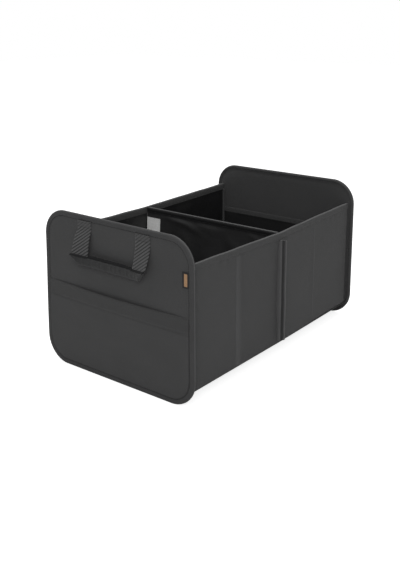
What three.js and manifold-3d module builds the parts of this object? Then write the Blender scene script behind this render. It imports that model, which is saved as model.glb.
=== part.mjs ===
// A foldable fabric organizer for a car trunk. Two stiff end panels with rounded corners
// stand on the ground and carry two side walls, a divider at mid-length and a base sheet.
// Each side wall has two sections with an upright crease at the middle of each, so that the
// box can be pushed flat once its floor boards are lifted. A webbing handle with a sewn grip
// hangs on each end panel, and the near panel has a wide open pocket.
//
// Millimetres, +Z up, +X along the length. The origin is on the ground below the middle.

import * as THREE from "three";
import { mergeVertices } from "three/addons/utils/BufferGeometryUtils.js";
import Module from "manifold-3d";

const wasm = await Module();
wasm.setup();

// Gap between two pieces that are sewn or laid together
const CLEARANCE = 0.3;

// Overall sizes
const BODY_LENGTH = 492;
const PANEL_WIDTH = 320;
const PANEL_HEIGHT = 268;
const PANEL_CORNER_RADIUS = 45;

// Material thicknesses
const COVER_THICKNESS = 0.9;
const LINING_THICKNESS = 0.7;
const TAPE_THICKNESS = 0.8;
const PANEL_BOARD_THICKNESS = 2.4;
const WALL_BOARD_THICKNESS = 2.0;
const DIVIDER_BOARD_THICKNESS = 2.2;
const FLOOR_BOARD_THICKNESS = 2.8;

// Edge binding of the end panels, a tape folded round the rim
const BINDING_OUTER_WIDTH = 9;
const BINDING_INNER_WIDTH = 7.5;
const BOARD_RIM_GAP = 2;

// Facing on the inside of each end panel, over the top of the lining
const FACING_HEIGHT = 96;
const FACING_LIP_DROP = 6;
const FACING_LIP_RISE = 4;

// Side walls, which the divider holds further apart than the end panels do
const WALL_INSET = 8.5;
const WALL_TAPER = 2;
const BASE_BOTTOM = 24.5;
const WALL_TOP_AT_PANEL = 226;
const WALL_TOP_AT_DIVIDER = 222;
const CREASE_DEPTH = 0.6;
const CREASE_GROOVE_DEPTH = 1.2;
const CREASE_GROOVE_HALF_WIDTH = 8;
const HEM_HEIGHT = 12;
const BOARD_END_GAP = 3;

// Divider
const DIVIDER_BINDING_HEIGHT = 10;
const SEAM_FIN_REACH = 11;

// Floor boards, each sewn along its edge at an end panel
const FLOOR_HINGE_GAP = 0.3;
const FLOOR_FREE_END_GAP = 2.4;
const FLOOR_SIDE_GAP = 1.2;

// Pocket on the near panel
const POCKET_TOP = 147;
const POCKET_SAG = 1.8;
const POCKET_BULGE = 6.5;
const POCKET_HEM_HEIGHT = 28;
const POCKET_HEM_STEP = 0.5;

// Handles
const STRAP_WIDTH = 30;
const STRAP_THICKNESS = 2;
const STRAP_SPACING = 127;
const STRAP_SEWN_LENGTH = 10.7;
const STRAP_DROP = 45;
const GRIP_HEIGHT = 15;
const GRIP_THICKNESS = 8;
const GRIP_REACH = 11;
const GRIP_END_OVERHANG = 1.5;
const GRIP_CORNER_CUT = 14;

// Labels
const TAG_LENGTH = 12.5;
const TAG_HEIGHT = 25;
const TAG_TOP_DROP = 52;
const LABEL_WIDTH = 32;
const LABEL_HEIGHT = 55;
const LABEL_TOP_DROP = 19;
const LABEL_SIDE_GAP = 1;
const LABEL_TILT = THREE.MathUtils.degToRad(7);

// Facets of round stretches
const ARC_DIVISIONS = 5;
const POCKET_CORNER_STEPS = 6;
const POCKET_WIDTH_STEPS = 14;
const POCKET_HEIGHT_STEPS = 6;
const STRAP_STEPS = 8;

// Sizes worked out from the ones above
const HALF_LENGTH = BODY_LENGTH / 2;
const COVER_DEPTH = TAPE_THICKNESS + CLEARANCE;
const PANEL_BOARD_DEPTH = COVER_DEPTH + COVER_THICKNESS + CLEARANCE;
const PANEL_LINING_DEPTH = PANEL_BOARD_DEPTH + PANEL_BOARD_THICKNESS + CLEARANCE;
const PANEL_THICKNESS = PANEL_LINING_DEPTH + LINING_THICKNESS + CLEARANCE + TAPE_THICKNESS;
const SHEET_INSET = TAPE_THICKNESS + CLEARANCE;
const FACING_BOTTOM = PANEL_HEIGHT - FACING_HEIGHT;
const WALL_LINING_DEPTH = COVER_THICKNESS + WALL_BOARD_THICKNESS + 2 * CLEARANCE;
const WALL_THICKNESS = WALL_LINING_DEPTH + LINING_THICKNESS;
const WALL_FACE = PANEL_WIDTH / 2 - WALL_INSET;
const WALL_BOTTOM = BASE_BOTTOM + LINING_THICKNESS + CLEARANCE;
const WALL_END = HALF_LENGTH - PANEL_THICKNESS - CLEARANCE;
const DIVIDER_THICKNESS = DIVIDER_BOARD_THICKNESS + 2 * (LINING_THICKNESS + CLEARANCE);
const WALL_START = DIVIDER_THICKNESS / 2 + CLEARANCE;
const CREASE_PLACE = (WALL_START + WALL_END) / 2;
const HEM_INNER_FACE = WALL_FACE - WALL_THICKNESS - CLEARANCE - TAPE_THICKNESS;
const CREASE_INTRUSION = CREASE_DEPTH + CREASE_GROOVE_DEPTH;
const STRAP_FACE = HALF_LENGTH - COVER_DEPTH + CLEARANCE;
const STRAP_TOP = PANEL_HEIGHT - BINDING_OUTER_WIDTH - CLEARANCE;
const STRAP_SEAM_HEIGHT = STRAP_TOP - STRAP_SEWN_LENGTH;
const GRIP_TOP = STRAP_SEAM_HEIGHT - STRAP_DROP;
const UNDER_TOP_TAPE = TAPE_THICKNESS + CLEARANCE;

const coverFabric = new THREE.MeshStandardMaterial({ color: 0x434447, roughness: 0.9 });
const bindingTape = new THREE.MeshStandardMaterial({ color: 0x4e4f52, roughness: 0.8 });
const liningFabric = new THREE.MeshStandardMaterial({ color: 0x1d1e20, roughness: 0.45 });
const webbing = new THREE.MeshStandardMaterial({ color: 0x47484a, roughness: 0.85 });
const stiffener = new THREE.MeshStandardMaterial({ color: 0x8a8378, roughness: 0.9 });
const labelSatin = new THREE.MeshStandardMaterial({ color: 0xe6e6e4, roughness: 0.6 });
const tagFabric = new THREE.MeshStandardMaterial({ color: 0xa06a35, roughness: 0.8 });

// Directions in which an outline is drawn and pushed: an outline for ALONG_X holds [y, z]
// points, and one for ALONG_Y holds [z, x] points.
const AXES = [
  new THREE.Vector3(1, 0, 0),
  new THREE.Vector3(0, 1, 0),
  new THREE.Vector3(0, 0, 1),
];
const ALONG_X = new THREE.Matrix4().makeBasis(AXES[1], AXES[2], AXES[0]);
const ALONG_Y = new THREE.Matrix4().makeBasis(AXES[2], AXES[0], AXES[1]);
const WORLD_TO_ALONG_Y = ALONG_Y.clone().invert();

// Adds a named piece, turned so that its local z runs along the given axis
function addPiece(group, name, geometry, material, turn = new THREE.Matrix4()) {
  const mesh = new THREE.Mesh(geometry, material);
  mesh.name = name;
  mesh.quaternion.setFromRotationMatrix(turn);
  group.add(mesh);
  return mesh;
}

function toSolid(geometry) {
  const bare = geometry.clone();
  bare.deleteAttribute("normal");
  bare.deleteAttribute("uv");
  const merged = mergeVertices(bare);
  return new wasm.Manifold(new wasm.Mesh({
    numProp: 3,
    vertProperties: Float32Array.from(merged.attributes.position.array),
    triVerts: Uint32Array.from(merged.index.array),
  }));
}

function toGeometry(solid) {
  const mesh = solid.getMesh();
  const geometry = new THREE.BufferGeometry();
  geometry.setAttribute("position", new THREE.BufferAttribute(mesh.vertProperties, 3));
  geometry.setIndex(new THREE.BufferAttribute(mesh.triVerts, 1));
  geometry.computeVertexNormals();
  return geometry;
}

// A flat outline pushed along local z, from the given level
function extrude(shape, thickness, level = 0) {
  const options = { depth: thickness, bevelEnabled: false, curveSegments: ARC_DIVISIONS };
  return new THREE.ExtrudeGeometry(shape, options).translate(0, 0, level);
}

function polygon(points) {
  return new THREE.Shape(points.map(([x, y]) => new THREE.Vector2(x, y)));
}

// A block between two corners
function block(low, high) {
  const size = high.map((value, i) => value - low[i]);
  const middle = high.map((value, i) => (value + low[i]) / 2);
  return new THREE.BoxGeometry(...size).translate(...middle);
}

// A closed solid through a row of outlines, which lie across local z at the stations
function loft(stations, outlineAt) {
  const rings = stations.map(outlineAt);
  const count = rings[0].length;
  const last = (stations.length - 1) * count;
  const positions = rings.flatMap((ring, i) => ring.flatMap(([x, y]) => [x, y, stations[i]]));
  const faces = [];
  for (let start = 0; start < last; start += count) {
    for (let i = 0; i < count; i += 1) {
      const here = start + i;
      const next = start + ((i + 1) % count);
      faces.push(here, next, next + count);
      faces.push(here, next + count, here + count);
    }
  }
  const contour = rings[0].map(([x, y]) => new THREE.Vector2(x, y));
  for (const [a, b, c] of THREE.ShapeUtils.triangulateShape(contour, [])) {
    faces.push(c, b, a);
    faces.push(last + a, last + b, last + c);
  }
  const geometry = new THREE.BufferGeometry();
  geometry.setAttribute("position", new THREE.Float32BufferAttribute(positions, 3));
  geometry.setIndex(faces);
  geometry.computeVertexNormals();
  return geometry;
}

// The end panel's outline, drawn smaller by the inset
function panelOutline(inset) {
  const side = PANEL_WIDTH / 2 - inset;
  const top = PANEL_HEIGHT - inset;
  const radius = PANEL_CORNER_RADIUS - inset;
  const shape = new THREE.Shape();
  shape.moveTo(-side + radius, inset);
  shape.absarc(side - radius, inset + radius, radius, -Math.PI / 2, 0);
  shape.absarc(side - radius, top - radius, radius, 0, Math.PI / 2);
  shape.absarc(-side + radius, top - radius, radius, Math.PI / 2, Math.PI);
  shape.absarc(-side + radius, inset + radius, radius, Math.PI, 1.5 * Math.PI);
  return shape;
}

// Tape folded round the rim, with one leg on each face of the panel
function edgeBinding() {
  const innerLeg = PANEL_THICKNESS - TAPE_THICKNESS;
  const whole = toSolid(extrude(panelOutline(0), PANEL_THICKNESS));
  const groove = extrude(panelOutline(TAPE_THICKNESS), innerLeg - TAPE_THICKNESS, TAPE_THICKNESS);
  const outerHole = extrude(panelOutline(BINDING_OUTER_WIDTH), 2 * TAPE_THICKNESS, -TAPE_THICKNESS / 2);
  const innerHole = extrude(
    panelOutline(BINDING_INNER_WIDTH),
    2 * TAPE_THICKNESS,
    innerLeg - TAPE_THICKNESS / 2,
  );
  const cut = toSolid(groove).add(toSolid(outerHole)).add(toSolid(innerHole));
  return toGeometry(whole.subtract(cut));
}

// The area of the panel inside the box and below the facing, grown by a gap
function liningWindow(gap) {
  const side = WALL_FACE - WALL_TAPER - WALL_THICKNESS / 2 + gap;
  const low = [-side, BASE_BOTTOM - gap, -PANEL_WIDTH];
  const high = [side, FACING_BOTTOM - CLEARANCE + gap, PANEL_WIDTH];
  return toSolid(block(low, high));
}

// Lining between the walls, caught with them in the seams round the panel's inner face
function panelLining() {
  const sheet = toSolid(extrude(panelOutline(SHEET_INSET), LINING_THICKNESS));
  return toGeometry(sheet.intersect(liningWindow(0)));
}

// Facing fabric over the rest of the panel's inner face: above the lining, where it is folded
// under so that a lip covers the lining's top, and round the margins outside the walls
function facing() {
  const sheet = toSolid(extrude(panelOutline(SHEET_INSET), LINING_THICKNESS));
  const lipSide = PANEL_WIDTH / 2 - BINDING_INNER_WIDTH - CLEARANCE;
  const lipTop = FACING_BOTTOM + FACING_LIP_RISE;
  const lipBack = LINING_THICKNESS + CLEARANCE;
  const lipFace = PANEL_THICKNESS - PANEL_LINING_DEPTH - CLEARANCE / 2;
  const lip = block([-lipSide, FACING_BOTTOM - FACING_LIP_DROP, lipBack], [lipSide, lipTop, lipFace]);
  const fold = block([-lipSide, FACING_BOTTOM, LINING_THICKNESS / 2], [lipSide, lipTop, lipFace]);
  const around = sheet.subtract(liningWindow(CLEARANCE));
  return toGeometry(around.add(toSolid(lip)).add(toSolid(fold)));
}

// Each layer of the panel starts at its depth below the outer face
function addPanelLayers(group, end) {
  const boardInset = BINDING_OUTER_WIDTH + BOARD_RIM_GAP;
  const cover = extrude(panelOutline(SHEET_INSET), COVER_THICKNESS);
  const board = extrude(panelOutline(boardInset), PANEL_BOARD_THICKNESS);
  const layers = [
    ["panel_binding", edgeBinding(), bindingTape, 0],
    ["panel_cover", cover, coverFabric, COVER_DEPTH],
    ["panel_board", board, stiffener, PANEL_BOARD_DEPTH],
    ["panel_lining", panelLining(), liningFabric, PANEL_LINING_DEPTH],
    ["panel_facing", facing(), coverFabric, PANEL_LINING_DEPTH],
  ];
  for (const [name, geometry, material, depth] of layers) {
    const mesh = addPiece(group, `${end}_${name}`, geometry, material, ALONG_X);
    mesh.position.x = -HALF_LENGTH + depth;
  }
}

// How far the strap stands out from the panel at a height, from 0 at the seam to the grip
function strapReach(height) {
  const fall = (STRAP_SEAM_HEIGHT - height) / (STRAP_SEAM_HEIGHT - GRIP_TOP);
  return GRIP_REACH * THREE.MathUtils.smoothstep(fall, 0, 1);
}

// One hanging strap, drawn from the side and pushed along y by its width
function strapRibbon(centre) {
  const top = STRAP_SEAM_HEIGHT - CLEARANCE;
  const bottom = GRIP_TOP - GRIP_HEIGHT / 2;
  const inner = [];
  const outer = [];
  for (let i = 0; i <= STRAP_STEPS; i += 1) {
    const height = THREE.MathUtils.lerp(top, bottom, i / STRAP_STEPS);
    const face = -STRAP_FACE - strapReach(height);
    inner.push([height, face]);
    outer.push([height, face - STRAP_THICKNESS]);
  }
  const outline = polygon([...inner, ...outer.reverse()]);
  return extrude(outline, STRAP_WIDTH, centre - STRAP_WIDTH / 2);
}

// A bar along y with rounded edges, smaller than the grip by the inset
function gripBar(inset, halfLength) {
  const radius = GRIP_THICKNESS / 2 - inset;
  const middle = -STRAP_FACE - GRIP_REACH - STRAP_THICKNESS / 2;
  const low = GRIP_TOP - GRIP_HEIGHT + inset + radius;
  const high = GRIP_TOP - inset - radius;
  const shape = new THREE.Shape();
  shape.moveTo(low, middle - radius);
  shape.absarc(high, middle, radius, -Math.PI / 2, Math.PI / 2);
  shape.absarc(low, middle, radius, Math.PI / 2, 1.5 * Math.PI);
  return toSolid(extrude(shape, 2 * halfLength, -halfLength));
}

// Triangular prisms that cut the grip's lower corners where the webbing is folded
function cornerCuts(halfLength) {
  const low = GRIP_TOP - GRIP_HEIGHT;
  const depth = 2 * (GRIP_REACH + GRIP_THICKNESS);
  const [left, right] = [-1, 1].map((side) => {
    const corner = [
      [side * (halfLength + 1), low + GRIP_CORNER_CUT + 1],
      [side * (halfLength - GRIP_CORNER_CUT - 1), low - 1],
      [side * (halfLength + 1), low - 1],
    ];
    const outline = polygon(side < 0 ? corner : corner.reverse());
    const prism = extrude(outline, depth, -STRAP_FACE - depth).applyMatrix4(ALONG_X);
    return toSolid(prism.applyMatrix4(WORLD_TO_ALONG_Y));
  });
  return left.add(right);
}

// The webbing loop, its straps and the folded bar inside the grip in one piece, and the sleeve
// that is sewn round the bar
function addHandle(group, end) {
  const centre = STRAP_SPACING / 2;
  const halfLength = centre + STRAP_WIDTH / 2 + GRIP_END_OVERHANG;
  const coreInset = COVER_THICKNESS + CLEARANCE;
  const cuts = cornerCuts(halfLength);
  const ribbons = toSolid(strapRibbon(-centre)).add(toSolid(strapRibbon(centre)));
  const loop = ribbons.add(gripBar(coreInset, halfLength)).subtract(cuts);
  addPiece(group, `${end}_handle_webbing`, toGeometry(loop), webbing, ALONG_Y);

  const middle = -STRAP_FACE - GRIP_REACH - STRAP_THICKNESS / 2;
  const slotHalf = STRAP_THICKNESS / 2 + 2 * CLEARANCE;
  const slots = [-centre, centre].map((place) => toSolid(block(
    [GRIP_TOP - GRIP_HEIGHT / 2, middle - slotHalf, place - STRAP_WIDTH / 2 - CLEARANCE],
    [GRIP_TOP + 1, middle + slotHalf, place + STRAP_WIDTH / 2 + CLEARANCE],
  )));
  const tube = gripBar(0, halfLength).subtract(gripBar(COVER_THICKNESS, halfLength + 1));
  const sleeve = tube.subtract(slots[0]).subtract(slots[1]).subtract(cuts);
  addPiece(group, `${end}_handle_grip`, toGeometry(sleeve), coverFabric, ALONG_Y);

  for (const [name, place] of [["left", centre], ["right", -centre]]) {
    const tab = block(
      [-STRAP_FACE - STRAP_THICKNESS, place - STRAP_WIDTH / 2, STRAP_SEAM_HEIGHT],
      [-STRAP_FACE, place + STRAP_WIDTH / 2, STRAP_TOP],
    );
    addPiece(group, `${end}_handle_${name}_sewn_end`, tab, webbing);
  }
}

// A stiff board inside a fabric sleeve that is open at the divider
function addFloor(group, end) {
  const hinge = -WALL_END + FLOOR_HINGE_GAP;
  const free = -WALL_START - FLOOR_FREE_END_GAP;
  const half = HEM_INNER_FACE - WALL_TAPER - CREASE_INTRUSION - FLOOR_SIDE_GAP;
  const low = WALL_BOTTOM;
  const wrap = LINING_THICKNESS + CLEARANCE;
  const high = low + FLOOR_BOARD_THICKNESS + 2 * wrap;
  const outside = toSolid(block([hinge, -half, low], [free, half, high]));
  const inside = toSolid(block(
    [hinge + LINING_THICKNESS, -half + LINING_THICKNESS, low + LINING_THICKNESS],
    [free + wrap, half - LINING_THICKNESS, high - LINING_THICKNESS],
  ));
  addPiece(group, `${end}_floor_sleeve`, toGeometry(outside.subtract(inside)), liningFabric);
  const board = block([hinge + wrap, -half + wrap, low + wrap], [free - wrap, half - wrap, high - wrap]);
  addPiece(group, `${end}_floor_board`, board, stiffener);
}

// The lower outline of the pocket, which follows the binding round the corners
function pocketBottom(y) {
  const inset = BINDING_OUTER_WIDTH + CLEARANCE;
  const radius = PANEL_CORNER_RADIUS - inset;
  const straight = PANEL_WIDTH / 2 - PANEL_CORNER_RADIUS;
  const past = Math.min(Math.max(Math.abs(y) - straight, 0), radius);
  return PANEL_CORNER_RADIUS - Math.sqrt(radius * radius - past * past);
}

// How far the pocket stands off the panel: most at the middle of its mouth
function pocketBulge(y, height, mouth) {
  const half = PANEL_WIDTH / 2 - BINDING_OUTER_WIDTH - CLEARANCE;
  const across = Math.cos((Math.PI / 2) * (y / half));
  const up = THREE.MathUtils.smoothstep(height, BINDING_OUTER_WIDTH, mouth);
  return POCKET_BULGE * across * up;
}

// A sheet with a folded hem along its mouth, lofted from one side of the panel to the other
function pocketSheet() {
  const half = PANEL_WIDTH / 2 - BINDING_OUTER_WIDTH - CLEARANCE;
  const straight = PANEL_WIDTH / 2 - PANEL_CORNER_RADIUS;
  const stations = [];
  for (let i = 0; i < POCKET_CORNER_STEPS; i += 1) {
    const turn = (Math.PI / 2) * (1 - i / POCKET_CORNER_STEPS);
    stations.push(-straight - (half - straight) * Math.sin(turn));
  }
  for (let i = 0; i <= POCKET_WIDTH_STEPS; i += 1) {
    stations.push(THREE.MathUtils.lerp(-straight, straight, i / POCKET_WIDTH_STEPS));
  }
  for (let i = 1; i <= POCKET_CORNER_STEPS; i += 1) {
    const turn = (Math.PI / 2) * (i / POCKET_CORNER_STEPS);
    stations.push(straight + (half - straight) * Math.sin(turn));
  }
  const back = -HALF_LENGTH + COVER_DEPTH - CLEARANCE;
  return loft(stations, (y) => {
    const bottom = pocketBottom(y);
    const mouth = POCKET_TOP - POCKET_SAG * (1 - (y / half) ** 2);
    const hemStart = mouth - POCKET_HEM_HEIGHT;
    const heights = [];
    for (let i = 0; i <= POCKET_HEIGHT_STEPS; i += 1) {
      heights.push([THREE.MathUtils.lerp(bottom, hemStart, i / POCKET_HEIGHT_STEPS), 0]);
    }
    heights.push([hemStart + POCKET_HEM_STEP, POCKET_HEM_STEP]);
    heights.push([mouth - POCKET_HEM_HEIGHT / 2, POCKET_HEM_STEP]);
    heights.push([mouth, POCKET_HEM_STEP]);
    const inner = heights.map(([z]) => [z, back - pocketBulge(y, z, mouth)]);
    const outer = heights.map(([z, step]) => [
      z,
      back - pocketBulge(y, z, mouth) - COVER_THICKNESS - step,
    ]);
    return [...outer, ...inner.reverse()];
  });
}

function addPocketAndTag(group) {
  addPiece(group, "front_pocket", pocketSheet(), coverFabric, ALONG_Y);
  const rim = -PANEL_WIDTH / 2 + BINDING_OUTER_WIDTH + CLEARANCE;
  const tagTop = PANEL_HEIGHT - TAG_TOP_DROP;
  const tag = block(
    [-HALF_LENGTH, rim, tagTop - TAG_HEIGHT],
    [-HALF_LENGTH + COVER_DEPTH - CLEARANCE, rim + TAG_LENGTH, tagTop],
  );
  addPiece(group, "side_tag", tag, tagFabric);
}

// How far the wall stands in from its place at the divider, with a groove at each crease
function wallLean(x) {
  const away = Math.abs(Math.abs(x) - CREASE_PLACE);
  const halfSpan = (WALL_END - WALL_START) / 2;
  const taper = (WALL_TAPER * Math.abs(x)) / WALL_END;
  const lean = CREASE_DEPTH * Math.max(0, 1 - away / halfSpan);
  const groove = CREASE_GROOVE_DEPTH * Math.max(0, 1 - away / CREASE_GROOVE_HALF_WIDTH);
  return taper + lean + groove;
}

function wallTop(x) {
  const share = Math.min(Math.abs(x) / WALL_END, 1);
  return THREE.MathUtils.lerp(WALL_TOP_AT_DIVIDER, WALL_TOP_AT_PANEL, share);
}

// A sheet or board of the wall between stations, at a depth below the wall's outer face
function wallLayer(stations, depth, thickness, bottom, topGap) {
  return loft(stations, (x) => {
    const face = -WALL_FACE + wallLean(x) + depth;
    const top = wallTop(x) - topGap;
    return [[face, bottom], [face + thickness, bottom], [face + thickness, top], [face, top]];
  });
}

// Cover fabric turned over the top edge of both sections of a wall
function wallHem() {
  const crease = [
    CREASE_PLACE - CREASE_GROOVE_HALF_WIDTH,
    CREASE_PLACE,
    CREASE_PLACE + CREASE_GROOVE_HALF_WIDTH,
  ];
  const right = [WALL_START, ...crease, WALL_END];
  const left = right.map((x) => -x).reverse();
  return loft([...left, 0, ...right], (x) => {
    const face = -WALL_FACE + wallLean(x);
    const top = wallTop(x);
    const bottom = top - HEM_HEIGHT;
    const roof = top - TAPE_THICKNESS;
    const outerBack = face - CLEARANCE;
    const outerFace = outerBack - TAPE_THICKNESS;
    const innerBack = face + WALL_THICKNESS + CLEARANCE;
    const innerFace = innerBack + TAPE_THICKNESS;
    return [
      [outerFace, bottom],
      [outerBack, bottom],
      [outerBack, roof],
      [innerBack, roof],
      [innerBack, bottom],
      [innerFace, bottom],
      [innerFace, top],
      [outerFace, top],
    ];
  });
}

// Cover, lining and two boards of the wall section on one side of the divider
function addWallSection(group, name, direction) {
  const turn = (places) => places.map((x) => direction * x).sort((a, b) => a - b);
  const all = turn([
    WALL_START,
    CREASE_PLACE - CREASE_GROOVE_HALF_WIDTH,
    CREASE_PLACE,
    CREASE_PLACE + CREASE_GROOVE_HALF_WIDTH,
    WALL_END,
  ]);
  const cover = wallLayer(all, 0, COVER_THICKNESS, WALL_BOTTOM, UNDER_TOP_TAPE);
  const lining = wallLayer(all, WALL_LINING_DEPTH, LINING_THICKNESS, WALL_BOTTOM, UNDER_TOP_TAPE);
  addPiece(group, `${name}_cover`, cover, coverFabric, ALONG_X);
  addPiece(group, `${name}_lining`, lining, liningFabric, ALONG_X);
  const halves = [
    ["inner", WALL_START + BOARD_END_GAP, CREASE_PLACE - CREASE_GROOVE_HALF_WIDTH],
    ["outer", CREASE_PLACE + CREASE_GROOVE_HALF_WIDTH, WALL_END - BOARD_END_GAP],
  ];
  for (const [half, from, to] of halves) {
    const board = wallLayer(
      turn([from, to]),
      COVER_THICKNESS + CLEARANCE,
      WALL_BOARD_THICKNESS,
      WALL_BOTTOM + BOARD_END_GAP,
      UNDER_TOP_TAPE + BOARD_END_GAP,
    );
    addPiece(group, `${name}_${half}_board`, board, stiffener, ALONG_X);
  }
}

// The bound seam where two wall sections and the divider meet, standing out as an upright fin
function seamFin() {
  const half = DIVIDER_THICKNESS / 2;
  const near = -WALL_FACE - CLEARANCE;
  const far = -WALL_FACE - SEAM_FIN_REACH;
  const shape = new THREE.Shape();
  shape.moveTo(half, near);
  shape.lineTo(-half, near);
  shape.absarc(0, far + half, half, Math.PI, 2 * Math.PI);
  const top = WALL_TOP_AT_DIVIDER - HEM_HEIGHT - CLEARANCE;
  return extrude(shape, top - BASE_BOTTOM, BASE_BOTTOM);
}

// A wall drawn at the front. The back wall is the same one turned about the upright axis.
function sideWall(side, leftEnd, rightEnd) {
  const group = new THREE.Group();
  addWallSection(group, `${side}_${leftEnd}_wall`, -1);
  addWallSection(group, `${side}_${rightEnd}_wall`, 1);
  addPiece(group, `${side}_wall_top_hem`, wallHem(), coverFabric, ALONG_X);
  addPiece(group, `${side}_divider_seam`, seamFin(), bindingTape);
  return group;
}

// One face of the divider, narrower above the wall hems' lower edge
function dividerSheet() {
  const reach = WALL_FACE;
  const neck = HEM_INNER_FACE - CLEARANCE;
  const shoulder = WALL_TOP_AT_DIVIDER - HEM_HEIGHT - CLEARANCE;
  const top = WALL_TOP_AT_DIVIDER - UNDER_TOP_TAPE;
  return extrude(polygon([
    [-reach, WALL_BOTTOM],
    [reach, WALL_BOTTOM],
    [reach, shoulder],
    [neck, shoulder],
    [neck, top],
    [-neck, top],
    [-neck, shoulder],
    [-reach, shoulder],
  ]), LINING_THICKNESS);
}

// Tape folded over the divider's top edge
function dividerBinding() {
  const inner = DIVIDER_THICKNESS / 2 + CLEARANCE;
  const outer = inner + TAPE_THICKNESS;
  const half = HEM_INNER_FACE - CLEARANCE;
  const low = WALL_TOP_AT_DIVIDER - DIVIDER_BINDING_HEIGHT;
  const roof = WALL_TOP_AT_DIVIDER - TAPE_THICKNESS;
  return extrude(polygon([
    [low, -outer],
    [WALL_TOP_AT_DIVIDER, -outer],
    [WALL_TOP_AT_DIVIDER, outer],
    [low, outer],
    [low, inner],
    [roof, inner],
    [roof, -inner],
    [low, -inner],
  ]), 2 * half, -half);
}

function divider() {
  const group = new THREE.Group();
  const half = DIVIDER_THICKNESS / 2;
  const nearLining = addPiece(group, "divider_near_lining", dividerSheet(), liningFabric, ALONG_X);
  nearLining.position.x = -half;
  const farLining = addPiece(group, "divider_far_lining", dividerSheet(), liningFabric, ALONG_X);
  farLining.position.x = half - LINING_THICKNESS;
  addPiece(group, "divider_top_binding", dividerBinding(), bindingTape, ALONG_Y);
  const boardHalf = HEM_INNER_FACE - CLEARANCE - BOARD_END_GAP;
  const board = block(
    [-DIVIDER_BOARD_THICKNESS / 2, -boardHalf, WALL_BOTTOM + BOARD_END_GAP],
    [DIVIDER_BOARD_THICKNESS / 2, boardHalf, WALL_TOP_AT_DIVIDER - UNDER_TOP_TAPE - BOARD_END_GAP],
  );
  addPiece(group, "divider_board", board, stiffener);

  const label = block([-TAPE_THICKNESS / 2, -LABEL_WIDTH, -LABEL_HEIGHT], [TAPE_THICKNESS / 2, 0, 0]);
  const care = addPiece(group, "care_label", label, labelSatin);
  care.position.x = -WALL_START - TAPE_THICKNESS / 2;
  care.position.y = WALL_FACE - WALL_THICKNESS - CLEARANCE - LABEL_SIDE_GAP;
  care.position.z = WALL_TOP_AT_DIVIDER - LABEL_TOP_DROP;
  care.rotation.y = LABEL_TILT;
  return group;
}

// An end panel with its handle and floor board, drawn at the near end
function endAssembly(end) {
  const group = new THREE.Group();
  addPanelLayers(group, end);
  addHandle(group, end);
  addFloor(group, end);
  return group;
}

// The fabric bottom, as wide as the walls stand apart
function baseSheet() {
  const end = WALL_FACE - WALL_TAPER;
  const outline = polygon([
    [-WALL_END, -end],
    [0, -WALL_FACE],
    [WALL_END, -end],
    [WALL_END, end],
    [0, WALL_FACE],
    [-WALL_END, end],
  ]);
  return extrude(outline, LINING_THICKNESS, BASE_BOTTOM);
}

const organizer = new THREE.Group();
const nearEnd = endAssembly("near");
addPocketAndTag(nearEnd);
const farEnd = endAssembly("far");
farEnd.rotation.z = Math.PI;
const frontWall = sideWall("front", "near", "far");
const backWall = sideWall("back", "far", "near");
backWall.rotation.z = Math.PI;
organizer.add(nearEnd, farEnd, frontWall, backWall, divider());
addPiece(organizer, "base_sheet", baseSheet(), coverFabric);

export default organizer;
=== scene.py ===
import math

import bmesh
import bpy
import numpy as np
from mathutils import Matrix, Vector


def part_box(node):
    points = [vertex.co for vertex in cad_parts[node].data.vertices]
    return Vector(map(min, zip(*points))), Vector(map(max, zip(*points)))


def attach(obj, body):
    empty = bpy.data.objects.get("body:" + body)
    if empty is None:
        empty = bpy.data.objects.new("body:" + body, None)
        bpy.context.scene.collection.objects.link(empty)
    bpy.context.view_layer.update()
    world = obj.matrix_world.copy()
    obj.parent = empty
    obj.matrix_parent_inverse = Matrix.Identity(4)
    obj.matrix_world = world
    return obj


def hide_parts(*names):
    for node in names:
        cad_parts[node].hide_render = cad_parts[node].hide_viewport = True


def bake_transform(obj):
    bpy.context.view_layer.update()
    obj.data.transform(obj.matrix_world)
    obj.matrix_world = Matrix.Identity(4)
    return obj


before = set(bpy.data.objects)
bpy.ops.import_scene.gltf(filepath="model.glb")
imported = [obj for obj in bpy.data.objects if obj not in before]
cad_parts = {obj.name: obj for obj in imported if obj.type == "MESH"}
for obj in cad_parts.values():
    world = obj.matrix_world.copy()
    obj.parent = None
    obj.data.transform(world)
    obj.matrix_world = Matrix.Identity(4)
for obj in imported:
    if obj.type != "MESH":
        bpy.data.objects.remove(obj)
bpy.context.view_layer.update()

MM = 0.001

# Places that the frame gives, in metres
PANEL_LOW, PANEL_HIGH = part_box("near_panel_binding")
HALF_LENGTH = -PANEL_LOW.x
PANEL_SIDE = PANEL_HIGH.y
PANEL_TOP = PANEL_HIGH.z
PANEL_THICKNESS = PANEL_HIGH.x - PANEL_LOW.x
WALL_LOW, WALL_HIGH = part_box("front_near_wall_cover")
WALL_FACE = -WALL_LOW.y
WALL_BOTTOM = WALL_LOW.z
WALL_END = -WALL_LOW.x
WALL_START = -WALL_HIGH.x
DIVIDER_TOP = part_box("divider_top_binding")[1].z
DIVIDER_BINDING_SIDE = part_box("divider_top_binding")[1].y
DIVIDER_NEAR_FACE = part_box("divider_near_lining")[0].x
GRIP_LOW, GRIP_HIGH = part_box("near_handle_grip")
SEWN_LOW, SEWN_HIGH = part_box("near_handle_left_sewn_end")
POCKET_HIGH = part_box("front_pocket")[1]
TAG_LOW, TAG_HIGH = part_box("side_tag")
LABEL_LOW, LABEL_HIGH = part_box("care_label")

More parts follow.
